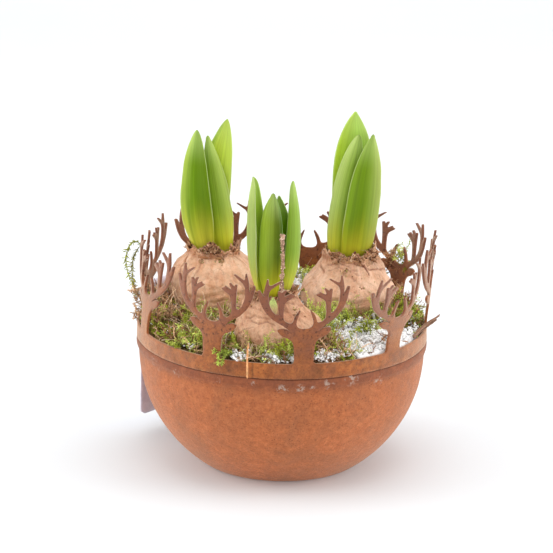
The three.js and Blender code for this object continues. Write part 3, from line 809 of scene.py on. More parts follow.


# Creases in each bulb's skin: width, depth, darkness and points of azimuth and height. The darkness
# is partly the skin's brown lines and cracks, partly painted shade in the folds
CREASES = {
    "left": [
        (0.9, 1.3, 1.0, [(-84, 33), (-69, 28.4), (-58, 25.6), (-54, 19)]),
        (0.5, 0.7, 0.9, [(-23, 34.1), (-1, 34), (26, 32.8), (38, 35.2)]),
        (0.5, 0.6, 0.8, [(-29, 29.6), (-10, 30.1), (6, 31.7), (18, 31)]),
        (0.45, 0.5, 0.6, [(48, 31), (54, 28.7), (62, 26.4), (66, 23.2), (75, 17)]),
        (0.45, 0.5, 0.6, [(-36, 33.5), (-24, 27.5), (-23, 23.4), (-32, 16.8), (-44, 10.7)]),
        (0.5, 0.35, 0.45, [(-47, 21.9), (-50, 17), (-56, 8.6)]),
        (1.4, 0.7, 0.22, [
            (-34, 5.5), (-24, 7.3), (-11, 7.4), (2, 9.6), (12, 10.8), (20, 8.6), (40, 9)]),
        (1.3, 0.6, 0.18, [(-22, 2.5), (-13, 4), (-1, 5.7), (10, 6.3), (26, 4)]),
        (2.2, 0.6, 0.12, [(-18, 19.5), (-13, 21.2), (1, 20.9), (19, 20.1)]),
        (0.4, 0.3, 0.4, [(26, 18), (40, 13), (58, 11)]),
    ],
    "right": [
        (0.6, 0.9, 0.8, [(-97, 30), (-70, 25.1), (-50, 21.2)]),
        (0.45, 0.5, 0.6, [(-52, 25.9), (-34, 29), (-12, 28.4), (1, 26), (12, 24.5)]),
        (0.4, 0.4, 0.5, [(-41, 23.6), (-25, 26.1), (1, 24.9), (14, 22)]),
        (0.6, 1.2, 1.6, [(12, 28.5), (18, 27.8), (27, 26.3), (34, 23.7), (35, 21.4)]),
        (0.4, 0.5, 0.9, [(36, 25), (40, 24.6), (62, 23.2), (90, 20.6), (104, 15)]),
        (0.7, 0.4, 0.3, [(1, 22.1), (11, 18.3), (22, 13.8), (30, 9)]),
        (0.8, 0.4, 0.22, [(-70, 16.9), (-52, 15.2), (-40, 11)]),
        (1.2, 0.5, 0.16, [(-34, 8), (-24, 7.3), (-6, 5), (15, 5.6), (30, 8)]),
        (0.5, 0.4, 0.5, [(-28, 31), (-6, 30.5), (14, 30), (34, 30.5)]),
    ],
    "front": [
        (0.38, 0.6, 0.56, [(30, 26), (37, 25.3), (60, 24.1), (85, 21.1), (78, 19)]),
        (0.35, 0.6, 0.63, [(-44, 15), (-35, 14.6), (-24, 14.7), (-13, 16.1), (-4, 14.3)]),
        (0.45, 0.8, 0.63, [(-72, 14), (-66, 12.6), (-60, 10.5)]),
        (0.38, 0.5, 0.42, [(-81, 0), (-60, 5.6), (-50, 9.4), (-38, 12)]),
        (0.45, 0.6, 0.32, [(-53, 22.4), (-24, 22.1), (-11, 19.8), (2, 20.5)]),
        (0.38, 0.5, 0.35, [(24, 22), (35, 19.8), (46, 16.5), (45, 12.8), (52, 8)]),
        (0.45, 0.5, 0.28, [(-59, 14.9), (-36, 18.4), (-16, 17.6), (0, 18.5)]),
        (0.45, 0.5, 0.28, [(-30, 9.4), (-23, 3.8), (-24, -1.6)]),
        (0.52, 0.6, 0.24, [(-10, 12), (6, 10), (22, 11), (40, 8)]),
        (0.52, 0.6, 0.24, [(4, 16), (18, 14.6), (30, 15), (44, 19)]),
        (0.45, 0.6, 0.28, [(28, 30.5), (54, 28.2), (80, 26)]),
        (0.45, 0.6, 0.24, [(-50, 2), (-30, -1), (-6, 3), (16, 1)]),
        (0.45, 0.6, 0.24, [(-70, 8), (-52, 3), (-44, -4)]),
        (0.6, 1, 0.63, [(-8, 30), (-3, 25), (3, 23.4), (9, 25), (12, 30)]),
    ],
}
# How deep each skin's folds and wrinkles are
FOLDS = {"left": (0.38, 0.24), "right": (0.36, 0.2), "front": (0.55, 0.42)}


def crease_gap(azimuth, up, reach, course):
    """Distance over the skin from a course of azimuths and heights, in millimetres."""
    gap = np.full(np.broadcast_shapes(azimuth.shape, up.shape), 99.0)
    for (first, low), (last, high) in zip(course, course[1:]):
        x = wrapped(azimuth - first) * math.pi / 180 * reach
        y = up - low
        run = (last - first) * math.pi / 180 * reach
        rise = high - low
        t = np.clip((x * run + y * rise) / (run * run + rise * rise), 0, 1)
        gap = np.minimum(gap, np.hypot(x - t * run, y - t * rise))
    return gap


TUNIC_ROWS, TUNIC_COLS, BORE_ROWS = 124, 240, 7


def bulb_tunic(key, seed):
    """One bulb's skin, down into the bore that holds its leaves. Gives the mesh and its points."""
    bulb = BULBS[key]
    size = bulb["radius"]
    x, y, z = bulb["centre"]
    neck_top = bulb["neck"][2] - z
    profile = spline(bulb_outline(bulb), TUNIC_ROWS)
    azimuth = whole_turn(TUNIC_COLS)
    out, up = profile[:, :1], profile[:, 1:]
    slope = np.gradient(profile, axis=0)
    facing = unit(np.stack([slope[:, 1], -slope[:, 0]], 1))
    around = on_circle(azimuth, size, up)
    share = smoothstep(up, -0.55 * size, -0.2 * size)
    fold, wrinkle = FOLDS[key]
    narrow = np.clip(out / size, 0.35, 1)
    push = 0.9 * noise(around, 17, seed, 2)
    push = push + fold * noise(around * [1, 1, 0.16], 4.5, seed + 1, 3)
    push = push + 0.5 * fold * noise(around * [1, 1, 0.1], 1.8, seed + 2, 2) * (1.6 - narrow)
    push = push + wrinkle * noise(around * [0.3, 0.3, 1.4], 3.4, seed + 3, 3)
    dark = np.zeros_like(push)
    bend = 1.0 * noise(around, 7, seed + 9, 3)
    for width, depth, darkness, course in CREASES[key]:
        gap = crease_gap(azimuth, up + bend, np.maximum(out, 0.4 * size), course)
        groove = np.exp(-(gap / width) ** 2)
        lip = np.exp(-((gap - 2.2 * width) / width) ** 2)
        push = push - depth * groove + 0.45 * depth * lip
        dark = np.maximum(dark, darkness * groove)
    peel = noise(around * [1, 1, 0.8], 11, seed + 4, 4)
    layer = smoothstep(peel, 0.1, 0.16)
    push = push + 0.35 * layer
    edge = np.exp(-((peel - 0.1) / 0.04) ** 2)
    push = push * share
    ragged = smoothstep(up, neck_top - 6, neck_top)
    flare = 0.8 * noise(around * [1, 1, 0.2], 5, seed + 5, 2) * ragged
    torn = 2.2 * noise(around, 6, seed + 6, 3) * ragged ** 2
    tent = 2.3 * np.exp(-((up - neck_top + 7.5) / 5) ** 2)
    tent = tent * np.clip(0.75 + 0.9 * noise(around * [1, 1, 0.3], 8, seed + 13, 2), 0, 1.6)
    radius = out + (push + flare + tent) * facing[:, :1]
    height = up + push * facing[:, 1:] + torn
    rise = smoothstep(height, 0.3 * size, 0.8 * size)
    points = on_circle(azimuth, radius, z + height)
    points[..., 0] += x + (bulb["neck"][0] - x) * rise
    points[..., 1] += y + (bulb["neck"][1] - y) * rise

    sink = np.linspace(0, 1, BORE_ROWS + 1)[1:, None]
    top = points[-1:, :]
    axis = np.array([bulb["neck"][0], bulb["neck"][1], 0])
    spokes = unit((top - axis) * [1, 1, 0])
    bore = np.repeat(axis + spokes * bulb["bore"], BORE_ROWS, 0)
    bore[..., 2] = top[..., 2] - 0.4 - sink * (BORE_DEPTH - 0.4)
    floor = np.broadcast_to(axis + [0, 0, bulb["neck"][2] - BORE_DEPTH], (1, TUNIC_COLS, 3))
    every = np.concatenate([points, bore, floor])

    brown = smoothstep(up, neck_top - 6, neck_top) * (0.7 + 0.5 * noise(around, 3, seed, 2))
    stripe = smoothstep(noise(around * [1, 1, 0.1], 2.6, seed + 12, 2), 0.2, 0.6)
    low = smoothstep(up, 2, -16)
    tint = np.ones((*push.shape, 3)) * (1 - 0.06 * layer[..., None])
    tint = shade(tint, "#a0704c", 0.3 * edge)
    tint = shade(tint, "#a8744c", 0.16 * stripe * smoothstep(up, -10, 15))
    tint = shade(tint, "#9d7560", 0.4 * np.broadcast_to(low, push.shape))
    tint = shade(tint, "#8d5f3d", 0.6 * np.clip(brown, 0, 1))
    # Darker along the creases: partly brown lines and cracks in the skin, partly painted shade in
    # the folds
    tint = shade(tint, "#6b3c20", 0.8 * dark)
    # Painted shade: the bore's inside is dark brown, standing in for the shaded hollow of the neck
    # around the leaves
    inner = np.broadcast_to(linear("#6a4127"), (BORE_ROWS + 1, TUNIC_COLS, 3))
    build = Build()
    build.add(
        every, grid(len(every), TUNIC_COLS, closed=True), np.concatenate([tint, inner])
    )
    return build, every


SKIN_LEVEL = 0.55  # how bright the skin is where its tint is white


def shade(tint, code, amount):
    """The tint moved towards a colour, given relative to white."""
    amount = np.clip(np.asarray(amount), 0, 1)[..., None]
    return tint * (1 - amount) + linear(code) / SKIN_LEVEL * amount


def flake(build, rng, base, azimuth, width, height, lean, curl, tone):
    """A thin torn scale of dry skin that stands on its base and curls at its top."""
    rows, cols = 12, 13
    u = np.linspace(-1, 1, cols)[None, :]
    v = np.linspace(0, 1, rows)[:, None]
    outward = on_circle(azimuth, 1, 0)
    aside = np.array([-outward[1], outward[0], 0])
    jag = 1 - 0.3 * np.abs(u) ** 2 + 0.16 * rng.uniform(-1, 1, cols)[None, :]
    arc = v * height * jag
    away = math.sin(lean) * arc + curl * (arc / height) ** 2 * height - 0.14 * width * u ** 2
    rise = math.cos(lean) * arc - 0.4 * abs(curl) * (arc / height) ** 2 * height
    spread = u * width / 2 * (1 - 0.2 * v) + 0 * arc
    spots = np.array(base) + outward * away[..., None] + aside * spread[..., None]
    spots = spots + np.array([0, 0, 1]) * rise[..., None]
    spots = spots + outward * 0.35 * noise(spots, 2.5, int(rng.integers(99)), 2)[..., None]
    normal = unit(np.cross(np.gradient(spots, axis=1), np.gradient(spots, axis=0)))
    points, faces = slab(spots + normal * 0.16, spots - normal * 0.16)
    # Darker towards the base: painted shade where the scale stands among the scraps
    fade = np.repeat(0.75 + 0.3 * v, cols, 1).ravel()
    tint = linear(tone) * np.concatenate([fade, fade])[:, None]
    build.add(points, faces, tint, 1)


SCRAP_POINTS = 24


def scraps(build, rng, bases, outs, lengths, widths, tones):
    """Curled scraps of dry skin with ragged ends."""
    count = len(bases)
    u = np.linspace(-1, 1, 3)[None, None, :, None]
    v = np.linspace(0, 1, 4)[None, :, None, None]
    up = unit(outs + 0.6 * rng.normal(size=(count, 3)) + [0, 0, 0.5])
    side = unit(np.cross(up, rng.normal(size=(count, 3))))
    normal = np.cross(side, up)
    long, wide = lengths[:, None, None, None], widths[:, None, None, None]
    curl = rng.uniform(-0.9, 0.9, (count, 1, 1, 1))
    cup = rng.uniform(-0.5, 0.5, (count, 1, 1, 1))
    rag = 1 + 0.4 * rng.uniform(-1, 1, (count, 1, 3, 1))
    side, up, normal = side[:, None, None], up[:, None, None], normal[:, None, None]
    spots = bases[:, None, None] + side * u * wide / 2 * (1 - 0.4 * v) + up * v * long * rag
    spots = spots + normal * (curl * long * v ** 2 + cup * wide * u ** 2)
    _, pattern = slab(np.zeros((4, 3, 3)), np.zeros((4, 3, 3)))
    points = np.stack([spots + 0.13 * normal, spots - 0.13 * normal], 1)
    faces = pattern[None] + SCRAP_POINTS * np.arange(count)[:, None, None]
    shades = tones * rng.uniform(0.7, 1.2, (count, 1))
    build.add(points, faces.reshape(-1, 4), np.repeat(shades, SCRAP_POINTS, 0), 1)


HUSKS = palette("#d9ab85", "#c7936d", "#b5825e", "#a3734f", "#e6c09c", "#744c33", "#d09f79")

# Heaps of dried remains on each neck: azimuth, spread, height and number of scraps
HEAPS = {
    "left": [(-6, 19, 6, 240), (62, 16, 2, 30), (-84, 12, 2, 16)],
    "right": [(-32, 24, 2.6, 150), (10, 18, 1.8, 110), (58, 20, 4.5, 130)],
    "front": [(52, 24, 2, 40), (-50, 24, 1.6, 30)],
}

# Standing scales: azimuth, reach beyond the neck, drop, width, height, lean, curl, colour
SCALES = {
    "left": [
        (72, 0.4, 7, 16, 12.5, 0.02, 0.06, "#b5876c"), (96, 0.2, 6, 13, 11, 0.1, 0.1, "#a5785f"),
        (-20, 1.2, 7, 12, 5.5, 0.25, 0.1, "#b98660"), (8, 1.4, 7, 11, 5, 0.3, 0.15, "#c4936c"),
        (30, 1, 6, 12, 7, 0.1, 0.05, "#cf9f7c"), (-36, 1, 7, 10, 6, 0.1, 0, "#d3a480"),
        (-78, 0.6, 3, 5, 9, 0.75, -0.35, "#d9b18d"), (-66, 0.4, 4, 4, 7, 0.5, 0.3, "#c99a74"),
        (-48, 0.6, 6, 9, 8.5, 0.2, 0, "#c39069"), (150, 0.4, 5, 16, 8, 0, 0.05, "#b0805b"),
        (-140, 0.4, 5, 18, 8, 0, 0.05, "#b98a63"),
    ],
    "right": [
        (-64, 0.5, 6, 15, 9.5, 0, 0.03, "#dcb595"), (-30, 0.9, 6, 12, 7, 0.06, 0, "#d0a280"),
        (-8, 1.1, 6, 11, 6, 0.1, 0.1, "#c99871"), (28, 1.1, 6, 12, 6.5, 0.1, 0.1, "#cfa07b"),
        (84, 0.4, 7, 17, 14, -0.05, 0.02, "#cfa282"), (52, 0.8, 5, 10, 8.5, 0.05, 0.1, "#d3a988"),
        (2, 0.6, 4, 7, 5, 0.2, 0.2, "#c9a07a"), (128, 0.4, 5, 18, 9, 0, 0.05, "#b98a63"),
        (-160, 0.4, 5, 20, 9, 0, 0.05, "#b98a63"), (-105, 0.4, 5, 16, 8, 0, 0.05, "#bb8f6c"),
    ],
    "front": [
        (46, 0.6, 5, 9, 8, 0.75, 0.1, "#dcb494"), (74, 0.5, 5, 9, 9, 0.6, 0, "#cf9f7c"),
        (100, 0.5, 4, 9, 7, 0.4, 0.1, "#b98863"), (-58, 0.5, 5, 8, 7.5, 0.5, 0.1, "#caa07e"),
        (-84, 0.5, 5, 9, 6, 0.3, 0.1, "#b07f5b"), (170, 0.4, 5, 16, 7, 0, 0, "#b98a63"),
        (-140, 0.4, 5, 14, 7, 0, 0, "#b98a63"), (20, 0.6, 4, 5, 5, 0.5, 0.2, "#d8b08e"),
    ],
}


def neck_remains(key, build, rng):
    """Torn scales round the neck, and heaps of scraps and fibres between leaves and skin."""
    bulb = BULBS[key]
    axis = np.array(bulb["neck"], float)
    for azimuth, reach, drop, width, height, lean, curl, tone in SCALES[key]:
        base = axis + on_circle(azimuth, bulb["neck_radius"] + reach, -drop)
        flake(build, rng, base, azimuth, width, height, lean, curl, tone)
    spots = []
    for middle, spread, height, count in [*HEAPS[key], (0, 999, 0, 60)]:
        offset = rng.normal(size=count) * 0.5
        offset = rng.uniform(-0.5, 0.5, count) * 360 if spread > 360 else offset * spread
        share = np.exp(-(offset / spread) ** 2) if spread < 360 else 1
        lift = rng.uniform(-3.5, height, count) * share
        reach = rng.uniform(bulb["bore"] - 0.8, bulb["neck_radius"] + 1.4, count)
        reach = reach - np.maximum(lift, 0) * 0.2
        spots.append(axis + on_circle(middle + offset, reach, lift))
    spots = np.concatenate(spots)
    count = len(spots)
    outs = unit((spots - axis) * [1, 1, 0])
    lump_spots = spots[rng.uniform(size=count) < 0.35]
    sizes = rng.uniform(0.6, 1.5, len(lump_spots))
    pick = HUSKS[rng.integers(0, len(HUSKS), len(sizes))]
    grains(build, rng, lump_spots, sizes, pick * 0.85, 1)
    pick = HUSKS[rng.integers(0, len(HUSKS), count)]
    scraps(build, rng, spots, outs, rng.uniform(1, 3, count), rng.uniform(0.8, 2.2, count), pick)
    chosen = spots[rng.integers(0, count, 90)]
    aims = rng.normal(size=(90, 3)) + unit((chosen - axis) * [1, 1, 0]) * 0.6
    thin = (5, 0.17, 0.35, 0.3, 0, 0, "#8a5f42", "#dcb592")
    strands(build, rng, chosen, aims, rng.uniform(2.5, 7, 90), thin, clear=False, kind=1)


def surface_spot(skin, key, azimuth, up):
    """The point of a bulb's skin at an azimuth and a height above its centre."""
    ring = skin[:TUNIC_ROWS, round(azimuth / 360 * TUNIC_COLS) % TUNIC_COLS]
    return ring[np.abs(ring[:, 2] - BULBS[key]["centre"][2] - up).argmin()]


# Crumbs lying on the skin: azimuth, height, spread and number
CRUMBS = {
    "left": [(-24, 28, 2.2, 16), (14, 29, 4, 34), (-50, -2, 4, 20)],
    "right": [(20, 16, 9, 10), (-10, 24, 5, 20), (34, 2, 5, 12)],
    "front": [(4, 20, 3.5, 26), (50, 20, 5, 16), (-30, 0, 6, 16), (-60, 24, 4, 14)],
}


def bulb_crumbs(key, build, skin, rng):
    tones = palette("#d8b98f", "#a89a5c", "#a5764f", "#c79b70", "#8a5f40")
    for azimuth, up, spread, count in CRUMBS[key]:
        middle = surface_spot(skin, key, azimuth, up)
        spots = []
        for _ in range(count):
            turn = rng.normal() * spread / BULBS[key]["radius"] * 57 * 0.6
            spots.append(surface_spot(skin, key, azimuth + turn, up + rng.normal() * spread * 0.3))
        spots = np.array(spots) + unit(middle - np.array(BULBS[key]["centre"])) * 0.3
        shades = tones[rng.integers(0, len(tones), count)]
        grains(build, rng, spots, rng.uniform(0.3, 0.8, count), shades, 1)


def shoot_tip(build):
    """The pale green tip of a side shoot in a tear of the front bulb's skin."""
    rows, cols = 26, 18
    high = np.linspace(0, 1, rows)[:, None]
    turn = np.linspace(0, TAU, cols, endpoint=False)[None, :]
    wide = 3.1 * np.sin(math.pi * high ** 0.75) ** 0.8 + 0.05
    middle = np.array([-6.2, -70.4, 123.4])
    points = middle + np.stack([
        wide * np.cos(turn), 0.7 * wide * np.sin(turn) + 3.5 * high, 12.0 * (high - 0.5) + 0 * turn,
    ], -1)
    green = linear("#a9b468")
    tan = linear("#b39a68")
    tone = tan + (green - tan) * smoothstep(high, 0.35, 0.75)[..., None] + 0 * points
    tone = tone * (1 + 0.25 * noise(points * [1, 1, 0.15], 0.8, 9, 2))[..., None]
    walls = grid(rows, cols, closed=True)
    ends = [np.arange(cols)[None, ::-1], np.arange(cols)[None, :] + (rows - 1) * cols]
    build.add(points, [walls, *ends], tone.reshape(-1, 3), 1)


# ---------------------------------------------------------------- leaves

# Blade colours: one margin, the deep stripe, the other margin, where the stripe lies, the foot. The
# tones hold painted light and shade: a side turned to the light is paler, the deep stripe is partly
# painted shade in the trough, and the inner faces of the back leaves are painted brighter for light
# shining through
LEAF_TONES = {
    "left_outer": ("#95a93d", "#60810d", "#617f11", 0.2, "#d9d347"),
    "left_middle": ("#6d8a10", "#719117", "#9cb150", -0.7, "#e2dd37"),
    "left_back": ("#9db93a", "#94b034", "#8aa62e", 0.3, "#b9bf36"),
    "left_back_inner": ("#c6dd56", "#bdd241", "#93b132", 0.3, "#dadc2e"),
    "right_back": ("#93b03a", "#86a42e", "#a2be50", -0.3, "#b9bf36"),
    "right_back_inner": ("#a3c254", "#b0d558", "#b6d43f", -0.3, "#d2ce24"),
    "right_left": ("#a8bd65", "#6e8f0d", "#68870d", 0.6, "#d0ca2e"),
    "right_outer": ("#749323", "#65840d", "#95a353", -0.35, "#c0b62c"),
    "front_left": ("#95a45a", "#93a255", "#8fa052", 0, "#dcd250"),
    "front_left_inner": ("#98b835", "#88a827", "#678612", 0, "#cbca31"),
    "front_centre": ("#a4be3c", "#495a0d", "#3a600d", 0.55, "#d7cf2b"),
    "front_rear": ("#5f860f", "#77a612", "#5f7e11", 0.2, "#a59e1c"),
    "front_right": ("#779622", "#84a13e", "#a1b26d", -0.2, "#ddd647"),
}


def toward(tone, colour, amount):
    amount = np.clip(np.broadcast_to(amount, tone.shape[:2]), 0, 1)[..., None]
    return tone * (1 - amount) + colour * amount


def blade_tone(tones, u, t, seed):
    minus, deep, plus, stripe, foot = tones
    wander = 0.12 * noise(stacked(t * 4, u * 0, seed + 0.5), 1, seed, 2)
    off = u - stripe - wander
    tone = np.broadcast_to(linear(deep), (*off.shape, 3))
    tone = toward(tone, linear(minus), smoothstep(-off, 0, 1 + stripe))
    tone = toward(tone, linear(plus), smoothstep(off, 0, 1 - stripe))
    # Painted highlight: the blade is paler towards its tip, where the gloss catches the light
    tone = toward(tone, linear("#b6cd78"), 0.42 * smoothstep(t, 0.76, 0.98))
    ragged = 0.06 * noise(stacked(u * 4, t * 2, seed + 0.2), 1, seed, 2)
    tone = toward(tone, linear(foot), 1 - smoothstep(t + ragged, -0.04, 0.54))
    # Painted highlight along both margins, where the rolled edges catch the light
    pale = smoothstep(np.abs(u), 0.93, 1.0) * smoothstep(t, 0.2, 0.4)
    return toward(tone, linear("#cbd998"), 0.5 * pale)


def leaf_width(t, taper, waist):
    low = waist + (1 - waist) * np.sin(math.pi / 2 * np.minimum(t, 0.4) / 0.4) ** 1.4
    past = np.clip((t - 0.4) / 0.6, 0, 1)
    high = np.maximum(np.cos(math.pi / 2 * past ** taper[0]), 0) ** taper[1]
    return np.where(t < 0.4, low, high)


LEAF_ROWS, LEAF_COLS = 72, 27


def leaf_blade(leaf, seed):
    """A leaf as a closed trough that wraps its neighbours at its foot and opens to its tip."""
    plant, name, azimuth, facing, base, width, belly, tip, curve, taper, waist = leaf
    bulb = BULBS[plant]
    t = (1 - (1 - np.linspace(0, 1, LEAF_ROWS)) ** 1.5)[:, None]  # closer rows near the tip
    u = np.linspace(-1, 1, LEAF_COLS)[None, :]
    axis = np.array(bulb["neck"], float)
    back = on_circle(facing, 1, 0)
    aside = on_circle(azimuth, 1, 0)
    foot = axis + aside * base
    foot[2] = axis[2] - BORE_DEPTH + 1.2
    end = axis + np.array(tip)
    middle = foot + (end - foot) * 0.38 + aside * 2 * belly
    spine = (1 - t) ** 2 * foot + 2 * t * (1 - t) * middle + t * t * end
    along = unit(2 * (1 - t) * (middle - foot) + 2 * t * (end - middle))
    out = unit(back - along * (along @ back)[:, None])
    side = unit(np.cross(along, out))
    roll = np.radians(bulb["wrap"] + (curve - bulb["wrap"]) * np.minimum(t * 1.6, 1))
    blunt = 1.5 * np.sqrt(np.clip((1 - t) / 0.014, 0, 1))
    half = np.maximum(width / 2 * leaf_width(t, taper, waist), np.maximum(0.12, blunt))
    radius = half / np.sin(roll)
    centre = spine - out * radius
    rng = np.random.default_rng(seed)
    ribs = 0.07 * np.cos(u * math.pi * 9 + rng.uniform(0, 6)) * (1 - u ** 4)
    soft = 0.3 * noise(stacked(u * 3, t * 6, seed * 1.0), 1, seed, 2)
    edge = smoothstep(np.abs(u), 0.6, 1.0)
    lift = ribs + soft * (0.4 + edge) * smoothstep(t, 0.1, 0.4)
    thick = 0.32 + 1.15 * np.sqrt(np.clip(1 - u ** 2, 0, 1)) * (1 - 0.55 * smoothstep(t, 0.7, 1))
    faces = []
    for depth in (0, 1):
        reach = radius + lift - depth * thick
        angle = roll * u
        spots = centre[:, None] + side[:, None] * (reach * np.sin(angle))[..., None]
        faces.append(spots + out[:, None] * (reach * np.cos(angle))[..., None])
    points, quads = slab(*faces)
    label = f"{plant}_{name}"
    outer = blade_tone(LEAF_TONES[label], u, t, seed)
    inner = blade_tone(LEAF_TONES.get(f"{label}_inner", LEAF_TONES[label]), u, t, seed)
    tints = np.concatenate([outer.reshape(-1, 3), inner.reshape(-1, 3)])
    place = stacked(u * 0.5 + 0.5, t * width / 20 + 0 * u)
    place = place.reshape(-1, 2) * [width / 20, 1] + [seed * 0.37, 0]
    build = Build()
    build.add(points, quads, tints)
    build.piece(
        f"blade_{label}", [LEAF], "leaf", [f"leaf_{label}"], np.concatenate([place, place])
    )


# ---------------------------------------------------------------- moss, snow and soil


BEHIND_HEAD, BEHIND_STRIP, OVER_STRIP = 91.0, 92.4, 96.5  # how far out growth may reach
HALF_HEAD_ANGLE = 9
BULB_CLEARANCE = 0.9
CUSHION_STEP = 1.3
SNOWY_FROM = 700  # grains on a patch that is drifted over
GROUND, ICE = 1, 2  # material numbers on the grown pieces, whose strands have 0
SNOW_TINT = (1.06, 1.06, 1.06)


def lump(x, y):
    return 1.2 * np.sin(0.19 * x + 1.3) * np.cos(0.16 * y) + 0.8 * np.sin(0.37 * x - 0.29 * y)


def keep_clear(spots, floor_z):
    """Moves points out of the bulbs, off the strip and up onto the cushions."""
    for bulb in BULBS.values():
        away = spots - np.array(bulb["centre"], float)
        far = np.linalg.norm(away, axis=-1, keepdims=True)
        near = bulb["radius"] + BULB_CLEARANCE
        spots = np.where(far < near, spots + away / far * (near - far), spots)
    reach = np.hypot(spots[..., 0], spots[..., 1])
    turn = azimuth_of(spots)[..., None]
    off = np.abs(wrapped(turn - [azimuth for _, azimuth, *_ in HEADS])).min(-1)
    over_strip = spots[..., 2] >= RIM["top"] + 0.8
    between = np.where(over_strip, OVER_STRIP, BEHIND_STRIP)
    limit = np.where(off < HALF_HEAD_ANGLE, BEHIND_HEAD, between)
    spots[..., :2] *= np.minimum(limit / np.maximum(reach, 1), 1)[..., None]
    spots[..., 2] = np.maximum(spots[..., 2], floor_z)
    return spots


def strands(build, rng, roots, aims, lengths, style, floor_z=0.0, clear=True, kind=0):
    """Creeping shoots with small leaves. The style gives steps, radius, curl, sag, the leaves'
    length and number a step, and the colours of old and young growth."""
    steps, radius, curl, sag, leaf, number, old, young = style
    count = len(roots)
    step = (lengths / steps)[:, None]
    heading = unit(np.asarray(aims, float))
    swing = rng.normal(size=(count, 3)) * curl
    path = [np.asarray(roots, float)]
    for k in range(steps):
        swing = 0.7 * swing + 0.7 * rng.normal(size=(count, 3)) * curl
        heading = unit(heading + swing - np.array([0, 0, sag * k / steps]))
        following = path[-1] + heading * step
        if clear:
            following = keep_clear(following, floor_z)
        path.append(following)
    path = np.stack(path, 1)
    dress(build, rng, path, radius, leaf, number, old, young, kind)
    return path


def dress(build, rng, path, radius, leaf, number, old, young, kind=0):
    """Stems along the paths, with pointed leaflets around each step."""
    count, steps = path.shape[0], path.shape[1] - 1
    taper = np.linspace(1, 0.45, steps + 1)[None, :] * radius * rng.uniform(0.75, 1.25, (count, 1))
    points, faces, side, up, along = tubes(path, taper, 3)
    share = rng.uniform(0, 1, (count, 1, 1))
    grown = np.linspace(0, 1, steps + 1)[None, :, None]
    fresh = np.clip(share * 0.8 + grown * 0.5 - 0.1, 0, 1)
    tone = linear(old) * (1 - fresh) + linear(young) * fresh
    # Darker towards the root: painted shade low in the tuft
    tone = tone * (0.6 + 0.4 * grown ** 0.6) * rng.uniform(0.8, 1.2, (count, 1, 1))
    build.add(points, faces, np.repeat(tone[:, :, None], 3, 2).reshape(-1, 3), kind)
    if not number:
        return
    at = path[:, 1:, None]
    turn = np.arange(number) * TAU / number + rng.uniform(0, 6, (count, steps, 1))
    around = (
        np.cos(turn)[..., None] * side[:, 1:, None] + np.sin(turn)[..., None] * up[:, 1:, None]
    )
    size = leaf * rng.uniform(0.5, 1.25, (count, steps, number, 1))
    aim = unit(around + 0.75 * along[:, 1:, None] + 0.25 * rng.normal(size=around.shape))
    wide = unit(np.cross(aim, along[:, 1:, None] + 1e-3)) * size * 0.17
    thick = unit(np.cross(wide, aim)) * size * 0.1
    root = at + around * radius * 0.2
    heart = root + aim * size * 0.4
    tip = root + aim * size + thick * rng.uniform(-2, 2, size.shape)
    quad = np.stack([root, heart + wide + thick, heart - wide + thick, tip], -2)
    base = np.arange(count * steps * number)[:, None] * 4
    faces = np.concatenate([
        base + np.array(corner) for corner in ((0, 2, 1), (0, 1, 3), (0, 3, 2), (1, 2, 3))
    ])
    tones = np.repeat(tone[:, 1:, None], number, 2) * rng.uniform(0.85, 1.35, size.shape)
    build.add(quad, faces, np.repeat(tones.reshape(-1, 1, 3), 4, 1).reshape(-1, 3), kind)


GRAIN_POINTS = np.array([
    (1, 0, 0), (0, 1, 0), (-1, 0, 0), (0, -1, 0), (0, 0, 1), (0, 0, -1)
], float) * 1.12
GRAIN_FACES = np.array([
    (0, 1, 4), (1, 2, 4), (2, 3, 4), (3, 0, 4), (1, 0, 5), (2, 1, 5), (3, 2, 5), (0, 3, 5)
])


def grains(build, rng, spots, sizes, tint, kind):
    """Rough crystals or crumbs, each a small closed lump."""
    count = len(spots)
    turn = rng.normal(size=(count, 3, 3))
    first = unit(turn[:, 0])
    second = unit(np.cross(first, turn[:, 1]))
    frames = np.stack([first, second, np.cross(first, second)], 1)
    lumps = GRAIN_POINTS[None] * rng.uniform(0.65, 1.3, (count, 6, 1))
    lumps = (lumps * rng.uniform(0.6, 1.2, (count, 1, 3))) @ frames
    points = spots[:, None] + lumps * sizes[:, None, None]
    faces = np.arange(count)[:, None, None] * 6 + GRAIN_FACES[None]
    tones = np.broadcast_to(np.asarray(tint, float), (count, 3)) * rng.uniform(
        0.85, 1.1, (count, 1))
    build.add(points, faces.reshape(-1, 3), np.repeat(tones, 6, 0), kind)


# Growth styles: steps, radius, curl, sag, leaf length, leaves a step, old and young colour
GREEN = (8, 0.34, 0.24, 0.16, 2.1, 3, "#7a7620", "#b9c83a")
LIME = (8, 0.34, 0.22, 0.14, 2.3, 3, "#9ea436", "#dce678")
STRAW = (8, 0.4, 0.28, 0.22, 1.8, 2, "#9c6d48", "#e9bf94")
BROWN = (7, 0.4, 0.3, 0.2, 1.6, 2, "#63391f", "#b57f58")
DARK = (7, 0.36, 0.26, 0.18, 1.7, 3, "#54451f", "#8f8f3c")
HAY = (8, 0.34, 0.14, 0.14, 0, 0, "#d0a378", "#f6dabb")

